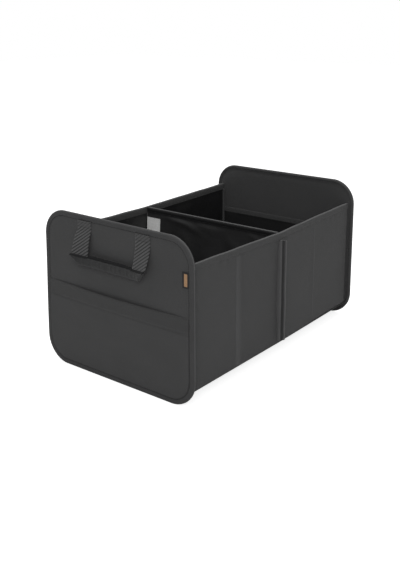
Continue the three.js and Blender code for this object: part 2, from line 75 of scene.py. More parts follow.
# Sizes of the real object that its box doesn't give
PANEL_RADIUS = 45 * MM
COVER = 0.9 * MM
LINING = 0.7 * MM
COVER_DEPTH = 1.1 * MM
BINDING_WIDTH = 10 * MM
WALL_TOP_AT_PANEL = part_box("front_wall_top_hem")[1].z
WALL_TOP_AT_DIVIDER = DIVIDER_TOP
WALL_THICKNESS = 4.2 * MM
WALL_TAPER = 2 * MM
HEM_HEIGHT = 12 * MM
PANEL_STITCH_PITCH = 3.6 * MM
HEM_STITCH_PITCH = 3.4 * MM
THREAD_RADIUS = 0.26 * MM
RIM_STEP = 1.6 * MM
CREASE_DEPTH = 0.6 * MM
CREASE_HALF = 8 * MM
CREASE_PLACE = (WALL_START + WALL_END) / 2
DEEP_CREASE = 125 * MM
SHALLOW_CREASE = 113 * MM
LINING_SIDE = WALL_FACE - WALL_TAPER - WALL_THICKNESS / 2
FACING_BOTTOM = 172 * MM
PANEL_TWIST = 4.5 * MM
TWIST_FOOT = 30 * MM
TWIST_TOP = 250 * MM
TWIST_OUTWARD_SHARE = 0.2


# Mesh helpers

def spread(x, y, z):
    """Points from grids, rows or single numbers of x, y and z."""
    return np.stack(np.broadcast_arrays(x, y, z), axis=-1)


def grid_faces(rows, columns, start, wrap_rows=False, wrap_columns=False):
    """Quads over a grid of points numbered row by row from start."""
    index = start + np.arange(rows * columns).reshape(rows, columns)
    if wrap_rows:
        index = np.concatenate([index, index[:1]])
    if wrap_columns:
        index = np.concatenate([index, index[:, :1]], axis=1)
    corners = [index[:-1, :-1], index[1:, :-1], index[1:, 1:], index[:-1, 1:]]
    return np.stack(corners, axis=-1).reshape(-1, 4)


def rim_loop(rows, columns, start):
    """The point numbers round the edge of a grid."""
    index = start + np.arange(rows * columns).reshape(rows, columns)
    return np.concatenate([index[0, :-1], index[:-1, -1], index[-1, :0:-1], index[:0:-1, 0]])


def make_mesh(name, points, faces, crease=40):
    """A closed smooth-shaded object whose edges sharper than crease degrees stay sharp."""
    mesh = bpy.data.meshes.new(name)
    mesh.from_pydata(points.reshape(-1, 3).tolist(), [], [list(map(int, f)) for f in faces])
    shape = bmesh.new()
    shape.from_mesh(mesh)
    bmesh.ops.recalc_face_normals(shape, faces=shape.faces)
    for face in shape.faces:
        face.smooth = True
    limit = math.radians(crease)
    for edge in shape.edges:
        if len(edge.link_faces) == 2 and edge.calc_face_angle(0.0) > limit:
            edge.smooth = False
    shape.to_mesh(mesh)
    shape.free()
    piece = bpy.data.objects.new(name, mesh)
    bpy.context.scene.collection.objects.link(piece)
    return piece


def sheet_parts(front, back, start=0):
    """Points and faces of a closed sheet between two grids of the same size."""
    rows, columns = front.shape[:2]
    count = rows * columns
    points = np.concatenate([front.reshape(-1, 3), back.reshape(-1, 3)])
    faces = list(grid_faces(rows, columns, start))
    faces += list(grid_faces(rows, columns, start + count)[:, ::-1])
    loop = rim_loop(rows, columns, start)
    after = np.roll(loop, -1)
    faces += list(np.stack([loop, after, after + count, loop + count], axis=1))
    return points, faces


def closed_sheet(name, front, back):
    """A closed sheet between two grids of points."""
    points, faces = sheet_parts(front, back)
    return make_mesh(name, points, faces)


def swept(name, rings, closed):
    """A tube through rings of points, joined end to end or with flat ends."""
    rows, columns = rings.shape[:2]
    faces = list(grid_faces(rows, columns, 0, wrap_rows=closed, wrap_columns=True))
    if not closed:
        faces.append(np.arange(columns)[::-1])
        faces.append(np.arange(columns) + (rows - 1) * columns)
    return make_mesh(name, rings.reshape(-1, 3), faces)


def finish_piece(piece, body, material, slot, *nodes):
    """Gives a piece its body, its material and the nodes that it stands for."""
    piece.data.materials.append(material)
    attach(piece, body)
    if nodes:
        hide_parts(*nodes)
    return piece


def leaned(points):
    """The near panel's left side is twisted a little, out at its foot and in at its top."""
    across = ease(points[..., 1], -PANEL_SIDE, PANEL_SIDE)
    up = ease(points[..., 2], TWIST_FOOT, TWIST_TOP) - TWIST_OUTWARD_SHARE
    return points + (across * up)[..., None] * np.array([PANEL_TWIST, 0.0, 0.0])


def turned(points, end, lean=True):
    """Points drawn at the near end, leaned there or turned about the upright axis for the far end."""
    if end == "far":
        return points * np.array([-1.0, -1.0, 1.0])
    return leaned(points) if lean else points


def round_turn(count):
    """Evenly spaced angles round a full turn."""
    return np.linspace(0, 2 * math.pi, count + 1)[:-1]


def ripple(a, b, size, seed, waves=9):
    """Smooth bumps of about the given size over places a, b, mostly between -1 and 1."""
    draw = np.random.default_rng(seed)
    total = np.zeros(np.broadcast(a, b).shape)
    for _ in range(waves):
        angle = draw.uniform(0, 2 * math.pi)
        rate = 2 * math.pi / (size * draw.uniform(0.7, 1.7))
        phase = draw.uniform(0, 2 * math.pi)
        total = total + np.sin(rate * (a * math.cos(angle) + b * math.sin(angle)) + phase)
    return total / math.sqrt(waves) / 1.4


def ease(value, low, high):
    """Rises smoothly from 0 at low to 1 at high."""
    t = np.clip((value - low) / (high - low), 0, 1)
    return t * t * (3 - 2 * t)


def bell(value, width):
    """1 at a value of 0, falling to 0 on both sides."""
    return np.exp(-((value / width) ** 2))


def fold_ridge(a, b, line, width):
    """1 on a line through the given (a, b) places, falling to 0 at its sides and ends."""
    best = np.zeros(np.broadcast(a, b).shape)
    count = len(line) - 1
    for i in range(count):
        start = np.array(line[i])
        step = np.array(line[i + 1]) - start
        t = np.clip(((a - start[0]) * step[0] + (b - start[1]) * step[1]) / (step @ step), 0, 1)
        away = np.hypot(a - start[0] - t * step[0], b - start[1] - t * step[1])
        along = (i + t) / count
        best = np.maximum(best, bell(away, width) * np.sin(math.pi * np.clip(along, 0.04, 0.96)))
    return best


def stitches(name, places, along, out, length, radius):
    """A row of short sewn threads: places are their middles, along and out unit vectors."""
    turns = round_turn(5)
    steps = np.linspace(-0.5, 0.5, 4)
    girth = np.sqrt(np.clip(1 - (2 * steps) ** 4, 0.06, 1))
    side = np.cross(along, out)
    points = []
    faces = []
    for place, a, o, s in zip(places, along, out, side):
        start = sum(len(p) for p in points)
        ring = [
            place + a * (t * length) + o * (radius * g * math.cos(w) - 1.2 * radius * (2 * t) ** 2)
            + s * (radius * g * math.sin(w))
            for t, g in zip(steps, girth) for w in turns
        ]
        points.append(np.array(ring))
        faces += list(grid_faces(len(steps), len(turns), start, wrap_columns=True))
        faces.append(start + np.arange(len(turns))[::-1])
        faces.append(start + np.arange(len(turns)) + (len(steps) - 1) * len(turns))
    return make_mesh(name, np.concatenate(points), faces, crease=70)


def sewn_row(name, places, along, out, length, radius, material, slot, end=None):
    """Stitches on the box, drawn at the near end and turned with its panel if an end is given."""
    along = np.broadcast_to(np.array(along, float), places.shape)
    out = np.broadcast_to(np.array(out, float), places.shape)
    if end:
        places = turned(places, end)
        along = turned(along, end, False)
        out = turned(out, end, False)
    finish_piece(stitches(name, places, along, out, length, radius), "box", material, slot)


# Materials

def add_node(tree, kind, inputs=None, **settings):
    """A node with its settings made and its inputs set or linked."""
    node = tree.nodes.new(kind)
    for key, value in settings.items():
        setattr(node, key, value)
    for key, value in (inputs or {}).items():
        if isinstance(value, bpy.types.NodeSocket):
            tree.links.new(value, node.inputs[key])
        else:
            node.inputs[key].default_value = value
    return node


def blank_material(name, roughness, sheen=0.0, specular=0.3):
    """A new material with its node tree and its one shader."""
    material = bpy.data.materials.new(name)
    material.use_nodes = True
    tree = material.node_tree
    tree.nodes.clear()
    shader = add_node(tree, "ShaderNodeBsdfPrincipled")
    shader.inputs["Roughness"].default_value = roughness
    shader.inputs["Specular IOR Level"].default_value = specular
    shader.inputs["Sheen Weight"].default_value = sheen
    shader.inputs["Sheen Roughness"].default_value = 0.6
    add_node(tree, "ShaderNodeOutputMaterial", {"Surface": shader.outputs["BSDF"]})
    return material, tree, shader


def coordinates(tree, kind):
    """The object's own coordinates or normal, as a vector and as its three numbers."""
    vector = add_node(tree, "ShaderNodeTexCoord").outputs[kind]
    return vector, add_node(tree, "ShaderNodeSeparateXYZ", {"Vector": vector}).outputs


def calculated(tree, operation, *values):
    """The result of a math node over numbers and sockets."""
    return add_node(tree, "ShaderNodeMath", dict(enumerate(values)), operation=operation).outputs[0]


def multiplied(tree, first, *others):
    """The product of several sockets."""
    for other in others:
        first = calculated(tree, "MULTIPLY", first, other)
    return first


def ranged(tree, value, start, end, low, high, curve="SMOOTHSTEP"):
    """A number that goes from low to high while value goes from start to end."""
    inputs = {"Value": value, "From Min": start, "From Max": end, "To Min": low, "To Max": high}
    return add_node(tree, "ShaderNodeMapRange", inputs, interpolation_type=curve).outputs["Result"]


def blended(tree, share, first, second):
    """A colour between two others, which are colours or sockets."""
    ends = [c if isinstance(c, bpy.types.NodeSocket) else (*c, 1.0) for c in (first, second)]
    inputs = {"Factor": share, "A": ends[0], "B": ends[1]}
    return add_node(tree, "ShaderNodeMix", inputs, data_type="RGBA").outputs["Result"]


def noise_of(tree, place, scale, detail):
    """Soft noise over the object."""
    inputs = {"Vector": place, "Scale": scale, "Detail": detail}
    return add_node(tree, "ShaderNodeTexNoise", inputs).outputs["Fac"]


def tone_noise(tree, place, scale, detail, low, high):
    """A multiplier for the colour that wanders between low and high."""
    return ranged(tree, noise_of(tree, place, scale, detail), 0.3, 0.7, low, high, "LINEAR")


def wave_of(tree, value, pitch):
    """The sine of a coordinate, with the given pitch in metres."""
    return calculated(tree, "SINE", calculated(tree, "MULTIPLY", value, 2 * math.pi / pitch))


def weave_of(tree, parts, axes, pitch):
    """Two sets of yarns that cross in the named plane."""
    return multiplied(tree, *[wave_of(tree, parts[axis], pitch) for axis in axes])


def bumped(tree, height, strength, distance, below=None):
    """A surface normal with fine relief, over another relief if one is given."""
    inputs = {"Height": height, "Strength": strength, "Distance": distance}
    if below is not None:
        inputs["Normal"] = below
    return add_node(tree, "ShaderNodeBump", inputs).outputs["Normal"]


def paint(tree, shader, colour, factor, normal=None):
    """Gives the shader a colour made lighter and darker by a factor, and its relief."""
    scaled = add_node(tree, "ShaderNodeVectorMath", {0: colour, "Scale": factor}, operation="SCALE")
    tree.links.new(scaled.outputs["Vector"], shader.inputs["Base Color"])
    if normal is not None:
        tree.links.new(normal, shader.inputs["Normal"])


def painted_top_highlight(tree, colour, highlight_tone):
    """The colour with a painted highlight where the surface faces up, standing in for light from above."""
    if highlight_tone is None:
        return colour
    _, facing = coordinates(tree, "Normal")
    return blended(tree, ranged(tree, facing["Z"], 0.75, 0.95, 0.0, 1.0), colour, highlight_tone)


def painted_rim_highlight(tree, colour, highlight_tone):
    """The colour with a painted highlight where the surface turns away from the panel's face, on the rim's
    sides.
    """
    if highlight_tone is None:
        return colour
    _, facing = coordinates(tree, "Normal")
    flat = calculated(tree, "ABSOLUTE", facing["X"])
    return blended(tree, ranged(tree, flat, 0.3, 0.1, 0.0, 1.0), colour, highlight_tone)


def crease_highlight_and_shade(tree, parts):
    """A multiplier for the walls: a painted highlight beside each crease, a painted shade line in it and
    painted shade beside the divider's seam.
    """
    away = calculated(tree, "ABSOLUTE", parts["X"])
    return multiplied(tree, *[ranged(tree, away, *shading_step) for shading_step in PAINTED_CREASE_STEPS])


def woven(name, colour, axes, highlight_tone=None, painted_creases=False, shaded_hem_from=None):
    """Plain-weave polyester: yarns crossing in the named plane, with soft tone variation."""
    material, tree, shader = blank_material(name, 0.85, 0.12, 0.25)
    place, parts = coordinates(tree, "Object")
    weave = weave_of(tree, parts, axes, YARN_PITCH)
    broad = tone_noise(tree, place, 9.0, 3.0, 0.95, 1.05)
    fibre = tone_noise(tree, place, 700.0, 2.0, 0.90, 1.10)
    yarn = ranged(tree, weave, -1.0, 1.0, 0.88, 1.12, "LINEAR")
    factor = multiplied(tree, broad, fibre, yarn)
    # Painted highlight beside each crease, painted shade in it and beside the divider's seam
    if painted_creases:
        factor = multiplied(tree, factor, crease_highlight_and_shade(tree, parts))
    # Painted shade: the pocket's hem band is darker from its lower seam up
    if shaded_hem_from is not None:
        painted_hem_shade = ranged(tree, parts["Z"], shaded_hem_from, shaded_hem_from + 3 * MM, 1.0, 0.84)
        factor = multiplied(tree, factor, painted_hem_shade)
    height = calculated(tree, "MULTIPLY_ADD", noise_of(tree, place, 260.0, 3.0), 0.8, weave)
    relief = bumped(tree, height, 0.35, 0.16 * MM)
    paint(tree, shader, painted_top_highlight(tree, colour, highlight_tone), factor, relief)
    return material


def coated(name, colour, axes, roughness=0.42, highlight_tone=None):
    """Thin coated lining: nearly black, with a soft gloss and fine crumpling."""
    material, tree, shader = blank_material(name, roughness, 0.0, 0.45)
    place, parts = coordinates(tree, "Object")
    broad = tone_noise(tree, place, 14.0, 3.0, 0.88, 1.12)
    fine = bumped(tree, weave_of(tree, parts, axes, COATED_PITCH), 0.25, 0.08 * MM)
    relief = bumped(tree, noise_of(tree, place, 45.0, 4.0), 0.35, 2.0 * MM, fine)
    paint(tree, shader, painted_top_highlight(tree, colour, highlight_tone), broad, relief)
    return material


def tape(name, colour, roughness=0.7, sheen=0.2, highlight_tone=None):
    """Binding tape, thread or cord: a fine grain and a slight sheen."""
    material, tree, shader = blank_material(name, roughness, sheen, 0.4)
    place, _ = coordinates(tree, "Object")
    broad = tone_noise(tree, place, 20.0, 3.0, 0.93, 1.07)
    fibre = tone_noise(tree, place, 900.0, 2.0, 0.86, 1.14)
    grain = add_node(tree, "ShaderNodeTexVoronoi", {"Vector": place, "Scale": 1500.0})
    relief = bumped(tree, grain.outputs["Distance"], 0.3, 0.15 * MM)
    paint(tree, shader, painted_rim_highlight(tree, colour, highlight_tone), multiplied(tree, broad, fibre), relief)
    return material


def ribbed(name, light, dark):
    """Webbing with slanting ribs, a painted highlight on their tops and painted shade between them, that
    fade near its sewn ends.
    """
    material, tree, shader = blank_material(name, 0.75, 0.15, 0.3)
    place, parts = coordinates(tree, "Object")
    slant = calculated(tree, "MULTIPLY_ADD", parts["Y"], RIB_SLOPE, parts["Z"])
    # The rib pattern paints highlight on the rib tops and shade in the gaps between them
    share = ranged(tree, wave_of(tree, slant, RIB_PITCH), -0.75, 0.35, 0.0, 1.0)
    ribs = blended(tree, share, dark, light)
    pressed = ranged(tree, parts["Z"], *PRESSED_HEIGHTS, 0.0, 0.55, "LINEAR")
    cloth = blended(tree, pressed, ribs, COVER_TONE)
    fibre = tone_noise(tree, place, 600.0, 2.0, 0.85, 1.15)
    relief = bumped(tree, noise_of(tree, place, 1400.0, 2.0), 0.5, 0.3 * MM)
    paint(tree, shader, cloth, fibre, relief)
    return material


def tag_cloth(name, edge, field, low, high):
    """A woven tag: dark cloth with one plain coloured field inside its edges."""
    material, tree, shader = blank_material(name, 0.8, 0.1, 0.3)
    place, parts = coordinates(tree, "Object")
    shares = []
    for axis, start, end in (("Y", low.y, high.y), ("Z", low.z, high.z)):
        half = (end - start) / 2
        shifted = calculated(tree, "SUBTRACT", parts[axis], (start + end) / 2)
        away = calculated(tree, "ABSOLUTE", shifted)
        shares.append(ranged(tree, away, half, half - 0.5 * MM, 0.0, 1.0, "LINEAR"))
    cloth = blended(tree, multiplied(tree, *shares), edge, field)
    fibre = tone_noise(tree, place, 1100.0, 2.0, 0.75, 1.2)
    paint(tree, shader, cloth, fibre, bumped(tree, fibre, 0.4, 0.2 * MM))
    return material


def plain_board(name, colour):
    """Stiffening board, hidden between the fabrics."""
    material, tree, shader = blank_material(name, 0.8)
    place, _ = coordinates(tree, "Object")
    paint(tree, shader, colour, tone_noise(tree, place, 240.0, 4.0, 0.85, 1.1))
    return material


YARN_PITCH = 0.62 * MM
COATED_PITCH = 0.5 * MM
RIB_SLOPE = 0.75
RIB_PITCH = 5.6 * MM
# Heights between which the webbing turns from ribbed to pressed flat
PRESSED_HEIGHTS = (246 * MM, 252 * MM)
COVER_TONE = (0.0505, 0.0505, 0.0512)
# A paler tone for painted highlights: lit tops, rim sides, the fin's root and rib tops
PAINTED_HIGHLIGHT_TONE = (0.085, 0.085, 0.086)
LINING_TONE = (0.0130, 0.0130, 0.0136)
TAG_EDGE_TONE = (0.014, 0.014, 0.015)
TAG_FIELD_TONE = (0.40, 0.235, 0.125)
# Painted crease highlight and shade, and painted shade beside the divider's seam: distance from the divider
# where each change of tone starts and ends, and its two tones
PAINTED_CREASE_STEPS = (
    (107 * MM, 124 * MM, 1.0, 1.65),
    (123.8 * MM, 125.4 * MM, 1.0, 0.51),
    (125.4 * MM, 128.5 * MM, 1.0, 1.19),
    (4 * MM, 40 * MM, 0.86, 1.0),
)

cover_yz = woven("cover_across", COVER_TONE, "YZ")
cover_xz = woven("cover_along", COVER_TONE, "XZ", painted_creases=True)
cover_xz_plain = woven("cover_along_plain", COVER_TONE, "XZ")
cover_xy = woven("cover_flat", COVER_TONE, "XY")
# The pocket's hem band gets painted shade
pocket_cloth = woven("pocket_cloth", COVER_TONE, "YZ", shaded_hem_from=POCKET_HIGH.z - 31 * MM)
# The hem's top gets a painted highlight
hem_fold = woven("hem_fold", COVER_TONE, "XZ", highlight_tone=PAINTED_HIGHLIGHT_TONE)
grip_cloth = woven("grip_cloth", (0.026, 0.026, 0.0265), "YZ")
lining_yz = coated("lining_across", (0.0075, 0.0075, 0.008), "YZ", 0.7)
lining_xz = coated("lining_along", LINING_TONE, "XZ")
lining_xy = coated("lining_flat", LINING_TONE, "XY")
# A paler copy of the lining for the divider: painted light where the lamps reach inside
divider_lining_lit = coated("divider_lining_lit", (0.032, 0.032, 0.0326), "YZ", 0.4)
# The divider tape's top gets a painted highlight
divider_tape = coated("divider_tape", LINING_TONE, "YZ", highlight_tone=PAINTED_HIGHLIGHT_TONE)
# The binding's rim sides get a painted highlight
rim_tape = tape("rim_tape", (0.047, 0.047, 0.0478), 0.8, 0.05, highlight_tone=PAINTED_HIGHLIGHT_TONE)
fin_tape = tape("fin_tape", (0.050, 0.050, 0.051))
# Seam allowance cloth between the cover and lining tones: partly lining, partly painted shade
allowance_lining_and_shade = tape("allowance_lining_and_shade", (0.026, 0.026, 0.027))
# Fin root in the painted highlight tone, standing in for its lit ridge
root_highlight_cloth = tape("root_highlight_cloth", PAINTED_HIGHLIGHT_TONE)
thread = tape("sewing_thread", (0.034, 0.034, 0.035))
# Thick dark thread at the binding's seam: real stitches, partly painted shade of the seam's groove
seam_thread_and_groove_shade = tape("seam_thread_and_groove_shade", (0.017, 0.017, 0.0175), 0.9, 0.0)
# A nearly black cord: painted shadow at the grip's top
shadow_cord = tape("shadow_cord", (0.007, 0.007, 0.0075), 0.9, 0.0)
label_satin = tape("label_satin", (0.92, 0.92, 0.91), 0.5)
# Painted highlight and shade on the webbing's ribs
strap_webbing = ribbed("strap_webbing", PAINTED_HIGHLIGHT_TONE, (0.016, 0.016, 0.0165))
board = plain_board("stiffener", (0.25, 0.22, 0.18))


# End panels

def panel_rows(inset, arc_rows=11, straight_rows=44):
    """Heights of the rows over a panel and how wide the panel is at each."""
    radius = PANEL_RADIUS - inset
    side = PANEL_SIDE - inset
    middle = PANEL_TOP / 2
    reach = middle - inset - radius
    turn = np.linspace(math.pi / 2, 0, arc_rows, endpoint=False)
    low = -reach - radius * np.sin(turn)
    straight = np.linspace(-reach, reach, straight_rows)
    heights = np.concatenate([low, straight, -low[::-1]])
    past = np.clip(np.abs(heights) - reach, 0, radius)
    widths = side - radius + np.sqrt(radius ** 2 - past ** 2)
    return middle + heights, widths


def panel_places(inset, columns=84):
    """Grids of y and z over the panel's outline, drawn smaller by inset."""
    heights, widths = panel_rows(inset)
    share = np.linspace(-1, 1, columns)
    y = widths[:, None] * share
    z = np.repeat(heights[:, None], columns, axis=1)
    return y, z


def rim_distance(y, z):
    """How far inside the panel's outline a place lies."""
    across = np.abs(y) - (PANEL_SIDE - PANEL_RADIUS)
    up = np.abs(z - PANEL_TOP / 2) - (PANEL_TOP / 2 - PANEL_RADIUS)
    outside = np.hypot(np.maximum(across, 0), np.maximum(up, 0))
    return PANEL_RADIUS - outside - np.minimum(np.maximum(across, up), 0)


def panel_sheet(name, depth, thickness, puff, seed, end, inward=False):
    """A layer of the panel. puff is how far its visible face swells in the middle."""
    y, z = panel_places(COVER_DEPTH)
    inside = rim_distance(y, z) - BINDING_WIDTH
    swell = puff * ease(inside, 0, 6 * MM) + 0.5 * puff * ripple(y, z, 90 * MM, seed)
    swell = swell + 0.5 * puff * bell(inside - 5 * MM, 4 * MM)
    swell = swell * ease(inside, -1 * MM, 5 * MM)
    pucker = 0.3 * MM * ripple(y * 2.2, z * 2.2, 18 * MM, seed + 1) * bell(inside - 2 * MM, 5 * MM)
    relief = swell + pucker
    if inward:
        above = ease(z, FACING_BOTTOM - 1 * MM, FACING_BOTTOM + 12 * MM)
        covered = (z < FACING_BOTTOM - 1 * MM) & (np.abs(y) < LINING_SIDE) & (z > WALL_BOTTOM)
        relief = relief * above - 0.45 * MM * covered
    near = -HALF_LENGTH + depth - (0 if inward else relief)
    far = -HALF_LENGTH + depth + thickness + (relief if inward else 0)
    front = spread(near, y, z)
    back = spread(far, y, z)
    return closed_sheet(name, turned(front, end), turned(back, end))


def outline_path(inset, spacing=RIM_STEP):
    """Evenly spaced places round the panel's rim with their outward directions."""
    radius = PANEL_RADIUS - inset
    side = PANEL_SIDE - PANEL_RADIUS
    top = PANEL_TOP / 2 - PANEL_RADIUS
    corners = [(side, -top, -0.5), (side, top, 0.0), (-side, top, 0.5), (-side, -top, 1.0)]
    places = []
    outward = []
    for i, (y, z, start) in enumerate(corners):
        turn = math.pi * (start + 0.5 * np.linspace(0, 1, int(radius * math.pi / 2 / spacing)))
        arc = np.stack([np.cos(turn), np.sin(turn)], axis=1)
        places.append(np.array([y, z]) + radius * arc)
        outward.append(arc)
        following = corners[(i + 1) % 4]
        gap = math.hypot(following[0] - y, following[1] - z)
        share = np.linspace(0, 1, int(gap / spacing))[1:-1, None]
        here = np.array([y, z]) + radius * arc[-1]
        there = np.array([following[0], following[1]]) + radius * arc[-1]
        places.append(here + (there - here) * share)
        outward.append(np.repeat(arc[-1][None, :], len(share), axis=0))
    places = np.concatenate(places) + np.array([0, PANEL_TOP / 2])
    return places, np.concatenate(outward)


# The binding's section: distance in from the rim and depth below the outer face, in mm
BINDING_SECTION = np.array([
    (10.3, 1.08), (10.2, 0.85), (9.7, 0.72), (9.2, 0.82), (8.6, 0.98), (7.9, 0.66), (7.2, 0.2),
    (6.0, -0.05), (4.4, -0.12), (2.8, -0.1), (1.7, 0.15), (0.8, 0.75), (0.3, 1.7), (0.0, 3.4),
    (0.3, 5.1), (0.9, 6.1), (1.7, 6.65), (2.8, 6.9), (4.0, 6.95), (4.8, 6.7), (5.5, 6.1),
    (6.1, 6.3), (6.8, 6.55), (7.3, 6.5), (7.5, 6.05), (1.6, 6.0), (1.0, 5.2), (1.0, 1.6),
    (1.6, 0.85),
]) * MM


def edge_binding(end, seed):
    """Tape folded round the rim, pulled in along its seam with small puckers."""
    places, outward = outline_path(0)
    count = len(places)
    along = np.arange(count) * RIM_STEP
    wobble = ripple(along, 0 * along, 11 * MM, seed) + 0.6 * ripple(along, 0 * along, 5 * MM, seed + 1)
    inset = BINDING_SECTION[:, 0]
    depth = BINDING_SECTION[:, 1]
    near_seam = bell(inset - 6 * MM, 3.2 * MM)
    outer = np.where(depth < PANEL_THICKNESS / 2, -1.0, 1.0)
    lift = 0.2 * MM * wobble[:, None] * near_seam * outer
    width = 0.25 * MM * ripple(along, 0 * along, 40 * MM, seed + 2)[:, None] * ease(inset, 4 * MM, 9 * MM)
    y = places[:, 0:1] - outward[:, 0:1] * (inset + width)
    z = places[:, 1:2] - outward[:, 1:2] * (inset + width)
    x = -HALF_LENGTH + depth + lift + 0 * y
    rings = spread(x, y, z)
    return swept(f"{end}_binding", turned(rings, end), closed=True)


def rim_stitches(end):
    """Threads along the binding's seam on the panel's outer and inner face."""
    rows = (("outer", 8.6 * MM, 0.85 * MM, -1.0), ("inner", 5.5 * MM, 6.2 * MM, 1.0))
    for side, inset, depth, out in rows:
        places, outward = outline_path(0, PANEL_STITCH_PITCH)
        middles = places - outward * inset
        points = spread(-HALF_LENGTH + depth, middles[:, 0], middles[:, 1])
        along = spread(0.0, -outward[:, 1], outward[:, 0])
        sewn_row(
            f"{end}_binding_stitches_{side}", points, along, (out, 0, 0), 3.2 * MM, 0.6 * MM,
            seam_thread_and_groove_shade, "binding_tape", end,
        )


def end_panel(end, seed):
    """All pieces of one end panel but its pocket, handle and tag."""
    cover = panel_sheet(f"{end}_cover", COVER_DEPTH, COVER, 0.35 * MM, seed, end)
    finish_piece(cover, "box", cover_yz, "cover_fabric", f"{end}_panel_cover")
    binding = edge_binding(end, seed + 3)
    finish_piece(binding, "box", rim_tape, "binding_tape", f"{end}_panel_binding")
    rim_stitches(end)
    lining_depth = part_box("near_panel_lining")[0].x + HALF_LENGTH
    low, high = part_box("near_panel_board")
    y, z = panel_places(PANEL_SIDE - high.y)
    outer = spread(low.x, y, z)
    inner = spread(high.x, y, z)
    stiffener = closed_sheet(f"{end}_stiffener", turned(outer, end), turned(inner, end))
    finish_piece(stiffener, "box", board, "stiffener_board", f"{end}_panel_board")
    panel_lining(end, lining_depth, seed + 5)
    top = panel_sheet(f"{end}_facing", lining_depth, LINING, 0.4 * MM, seed + 7, end, inward=True)
    finish_piece(top, "box", cover_yz, "cover_fabric", f"{end}_panel_facing")
    facing_fold(end, lining_depth, seed + 9)


def panel_lining(end, depth, seed):
    """The coated lining on the panel's inner face, between the walls and below the facing."""
    y, z = np.meshgrid(
        np.linspace(-LINING_SIDE, LINING_SIDE, 70), np.linspace(WALL_BOTTOM, FACING_BOTTOM, 44),
    )
    room = ease(LINING_SIDE - np.abs(y), 0, 18 * MM) * ease(z, WALL_BOTTOM + 5 * MM, WALL_BOTTOM + 25 * MM)
    room = room * ease(FACING_BOTTOM - z, 0, 14 * MM)
    slack = 1.3 * MM * np.clip(ripple(0.7 * y, z, 80 * MM, seed), -0.2, 1) * room
    near = spread(-HALF_LENGTH + depth + 0.3 * MM, y, z)
    far = spread(-HALF_LENGTH + depth + LINING + 0.1 * MM + slack, y, z)
    piece = closed_sheet(f"{end}_lining", turned(near, end), turned(far, end))
    finish_piece(piece, "box", lining_yz, "lining_fabric", f"{end}_panel_lining")


def facing_fold(end, depth, seed):
    """The facing's folded lower edge, sewn over the lining with two rows of stitches."""
    side = LINING_SIDE - 1 * MM
    y = np.linspace(-side, side, 220)
    section = np.array([
        (-6.0, 1.0), (-6.0, 1.5), (-5.0, 1.85), (-4.0, 1.9), (-3.0, 1.55), (-1.5, 1.9), (0.5, 1.9),
        (2.0, 1.55), (3.2, 1.7), (4.0, 1.2), (4.2, 0.6), (0.0, 0.8),
    ]) * MM
    wave = 0.12 * MM * ripple(y, 0 * y, 9 * MM, seed)[:, None]
    z = FACING_BOTTOM + section[:, 0] + 0.3 * wave
    x = -HALF_LENGTH + depth + section[:, 1] * 0.9 + wave * (section[:, 1] > 1.4 * MM)
    rings = spread(x, y[:, None], z)
    piece = swept(f"{end}_facing_fold", turned(rings, end), closed=False)
    finish_piece(piece, "box", cover_yz, "cover_fabric")
    places = np.arange(-side + 3 * MM, side - 3 * MM, PANEL_STITCH_PITCH)
    for row, height in enumerate((-3.0 * MM, 2.0 * MM)):
        points = spread(-HALF_LENGTH + depth + 1.5 * MM, places, FACING_BOTTOM + height)
        sewn_row(
            f"{end}_facing_stitches_{row}", points, (0, 1, 0), (1, 0, 0), 2.7 * MM, THREAD_RADIUS,
            thread, "cover_fabric", end,
        )


# Side walls

def wall_lean(x):
    """How far the wall's face stands in from its place at the divider: its taper and a slight fold."""
    away = np.abs(np.abs(x) - CREASE_PLACE)
    lean = CREASE_DEPTH * np.clip(1 - away / ((WALL_END - WALL_START) / 2), 0, 1)
    return WALL_TAPER * np.abs(x) / WALL_END + lean


def crease_form(x, z, deep):
    """The fold at a crease: a step with a long slope towards the divider, or a low ridge."""
    tall = ease(z, WALL_BOTTOM, WALL_TOP_AT_DIVIDER)
    if deep:
        along = DEEP_CREASE - np.abs(x) + 0 * z
        width = (9 + 12 * tall) * MM
        slope = np.clip(1 - along / width, 0, 1) ** 1.5 * (along >= 0)
        side = np.clip(1 + along / (1.6 * MM), 0, 1) * (along < 0)
        return -(1.9 + 1.1 * tall) * MM * (slope + side)
    along = SHALLOW_CREASE - np.abs(x) + 0 * z
    towards = np.clip(1 - along / (13 * MM), 0, 1) ** 1.5 * (along >= 0)
    away = bell(along, 1.6 * MM) * (along < 0)
    return 0.8 * MM * (towards + away) * bell(z - 130 * MM, 80 * MM)


def seam_dip(x, z, deep):
    """How far a wall section is drawn in beside the divider's seam, most at half height."""
    if not deep:
        return 0 * x * z
    share = np.clip((z - WALL_BOTTOM) / (WALL_TOP_AT_DIVIDER - HEM_HEIGHT - WALL_BOTTOM), 0, 1)
    lens = np.sin(math.pi * share) ** 0.6
    width = (12 + 40 * lens) * MM
    return 4.4 * MM * lens * np.clip(1 - (np.abs(x) - WALL_START) / width, 0, 1) ** 2


def wall_foot(x, facing):
    """The height of a wall's bottom edge, which rises a little towards one end."""
    return WALL_BOTTOM + 3 * MM * ease(-facing * x, 0.01, 0.2)


def wall_top(x):
    """The height of a wall's top edge, which rises from the divider to the panels."""
    share = np.clip(np.abs(x) / WALL_END, 0, 1)
    return WALL_TOP_AT_DIVIDER + (WALL_TOP_AT_PANEL - WALL_TOP_AT_DIVIDER) * share


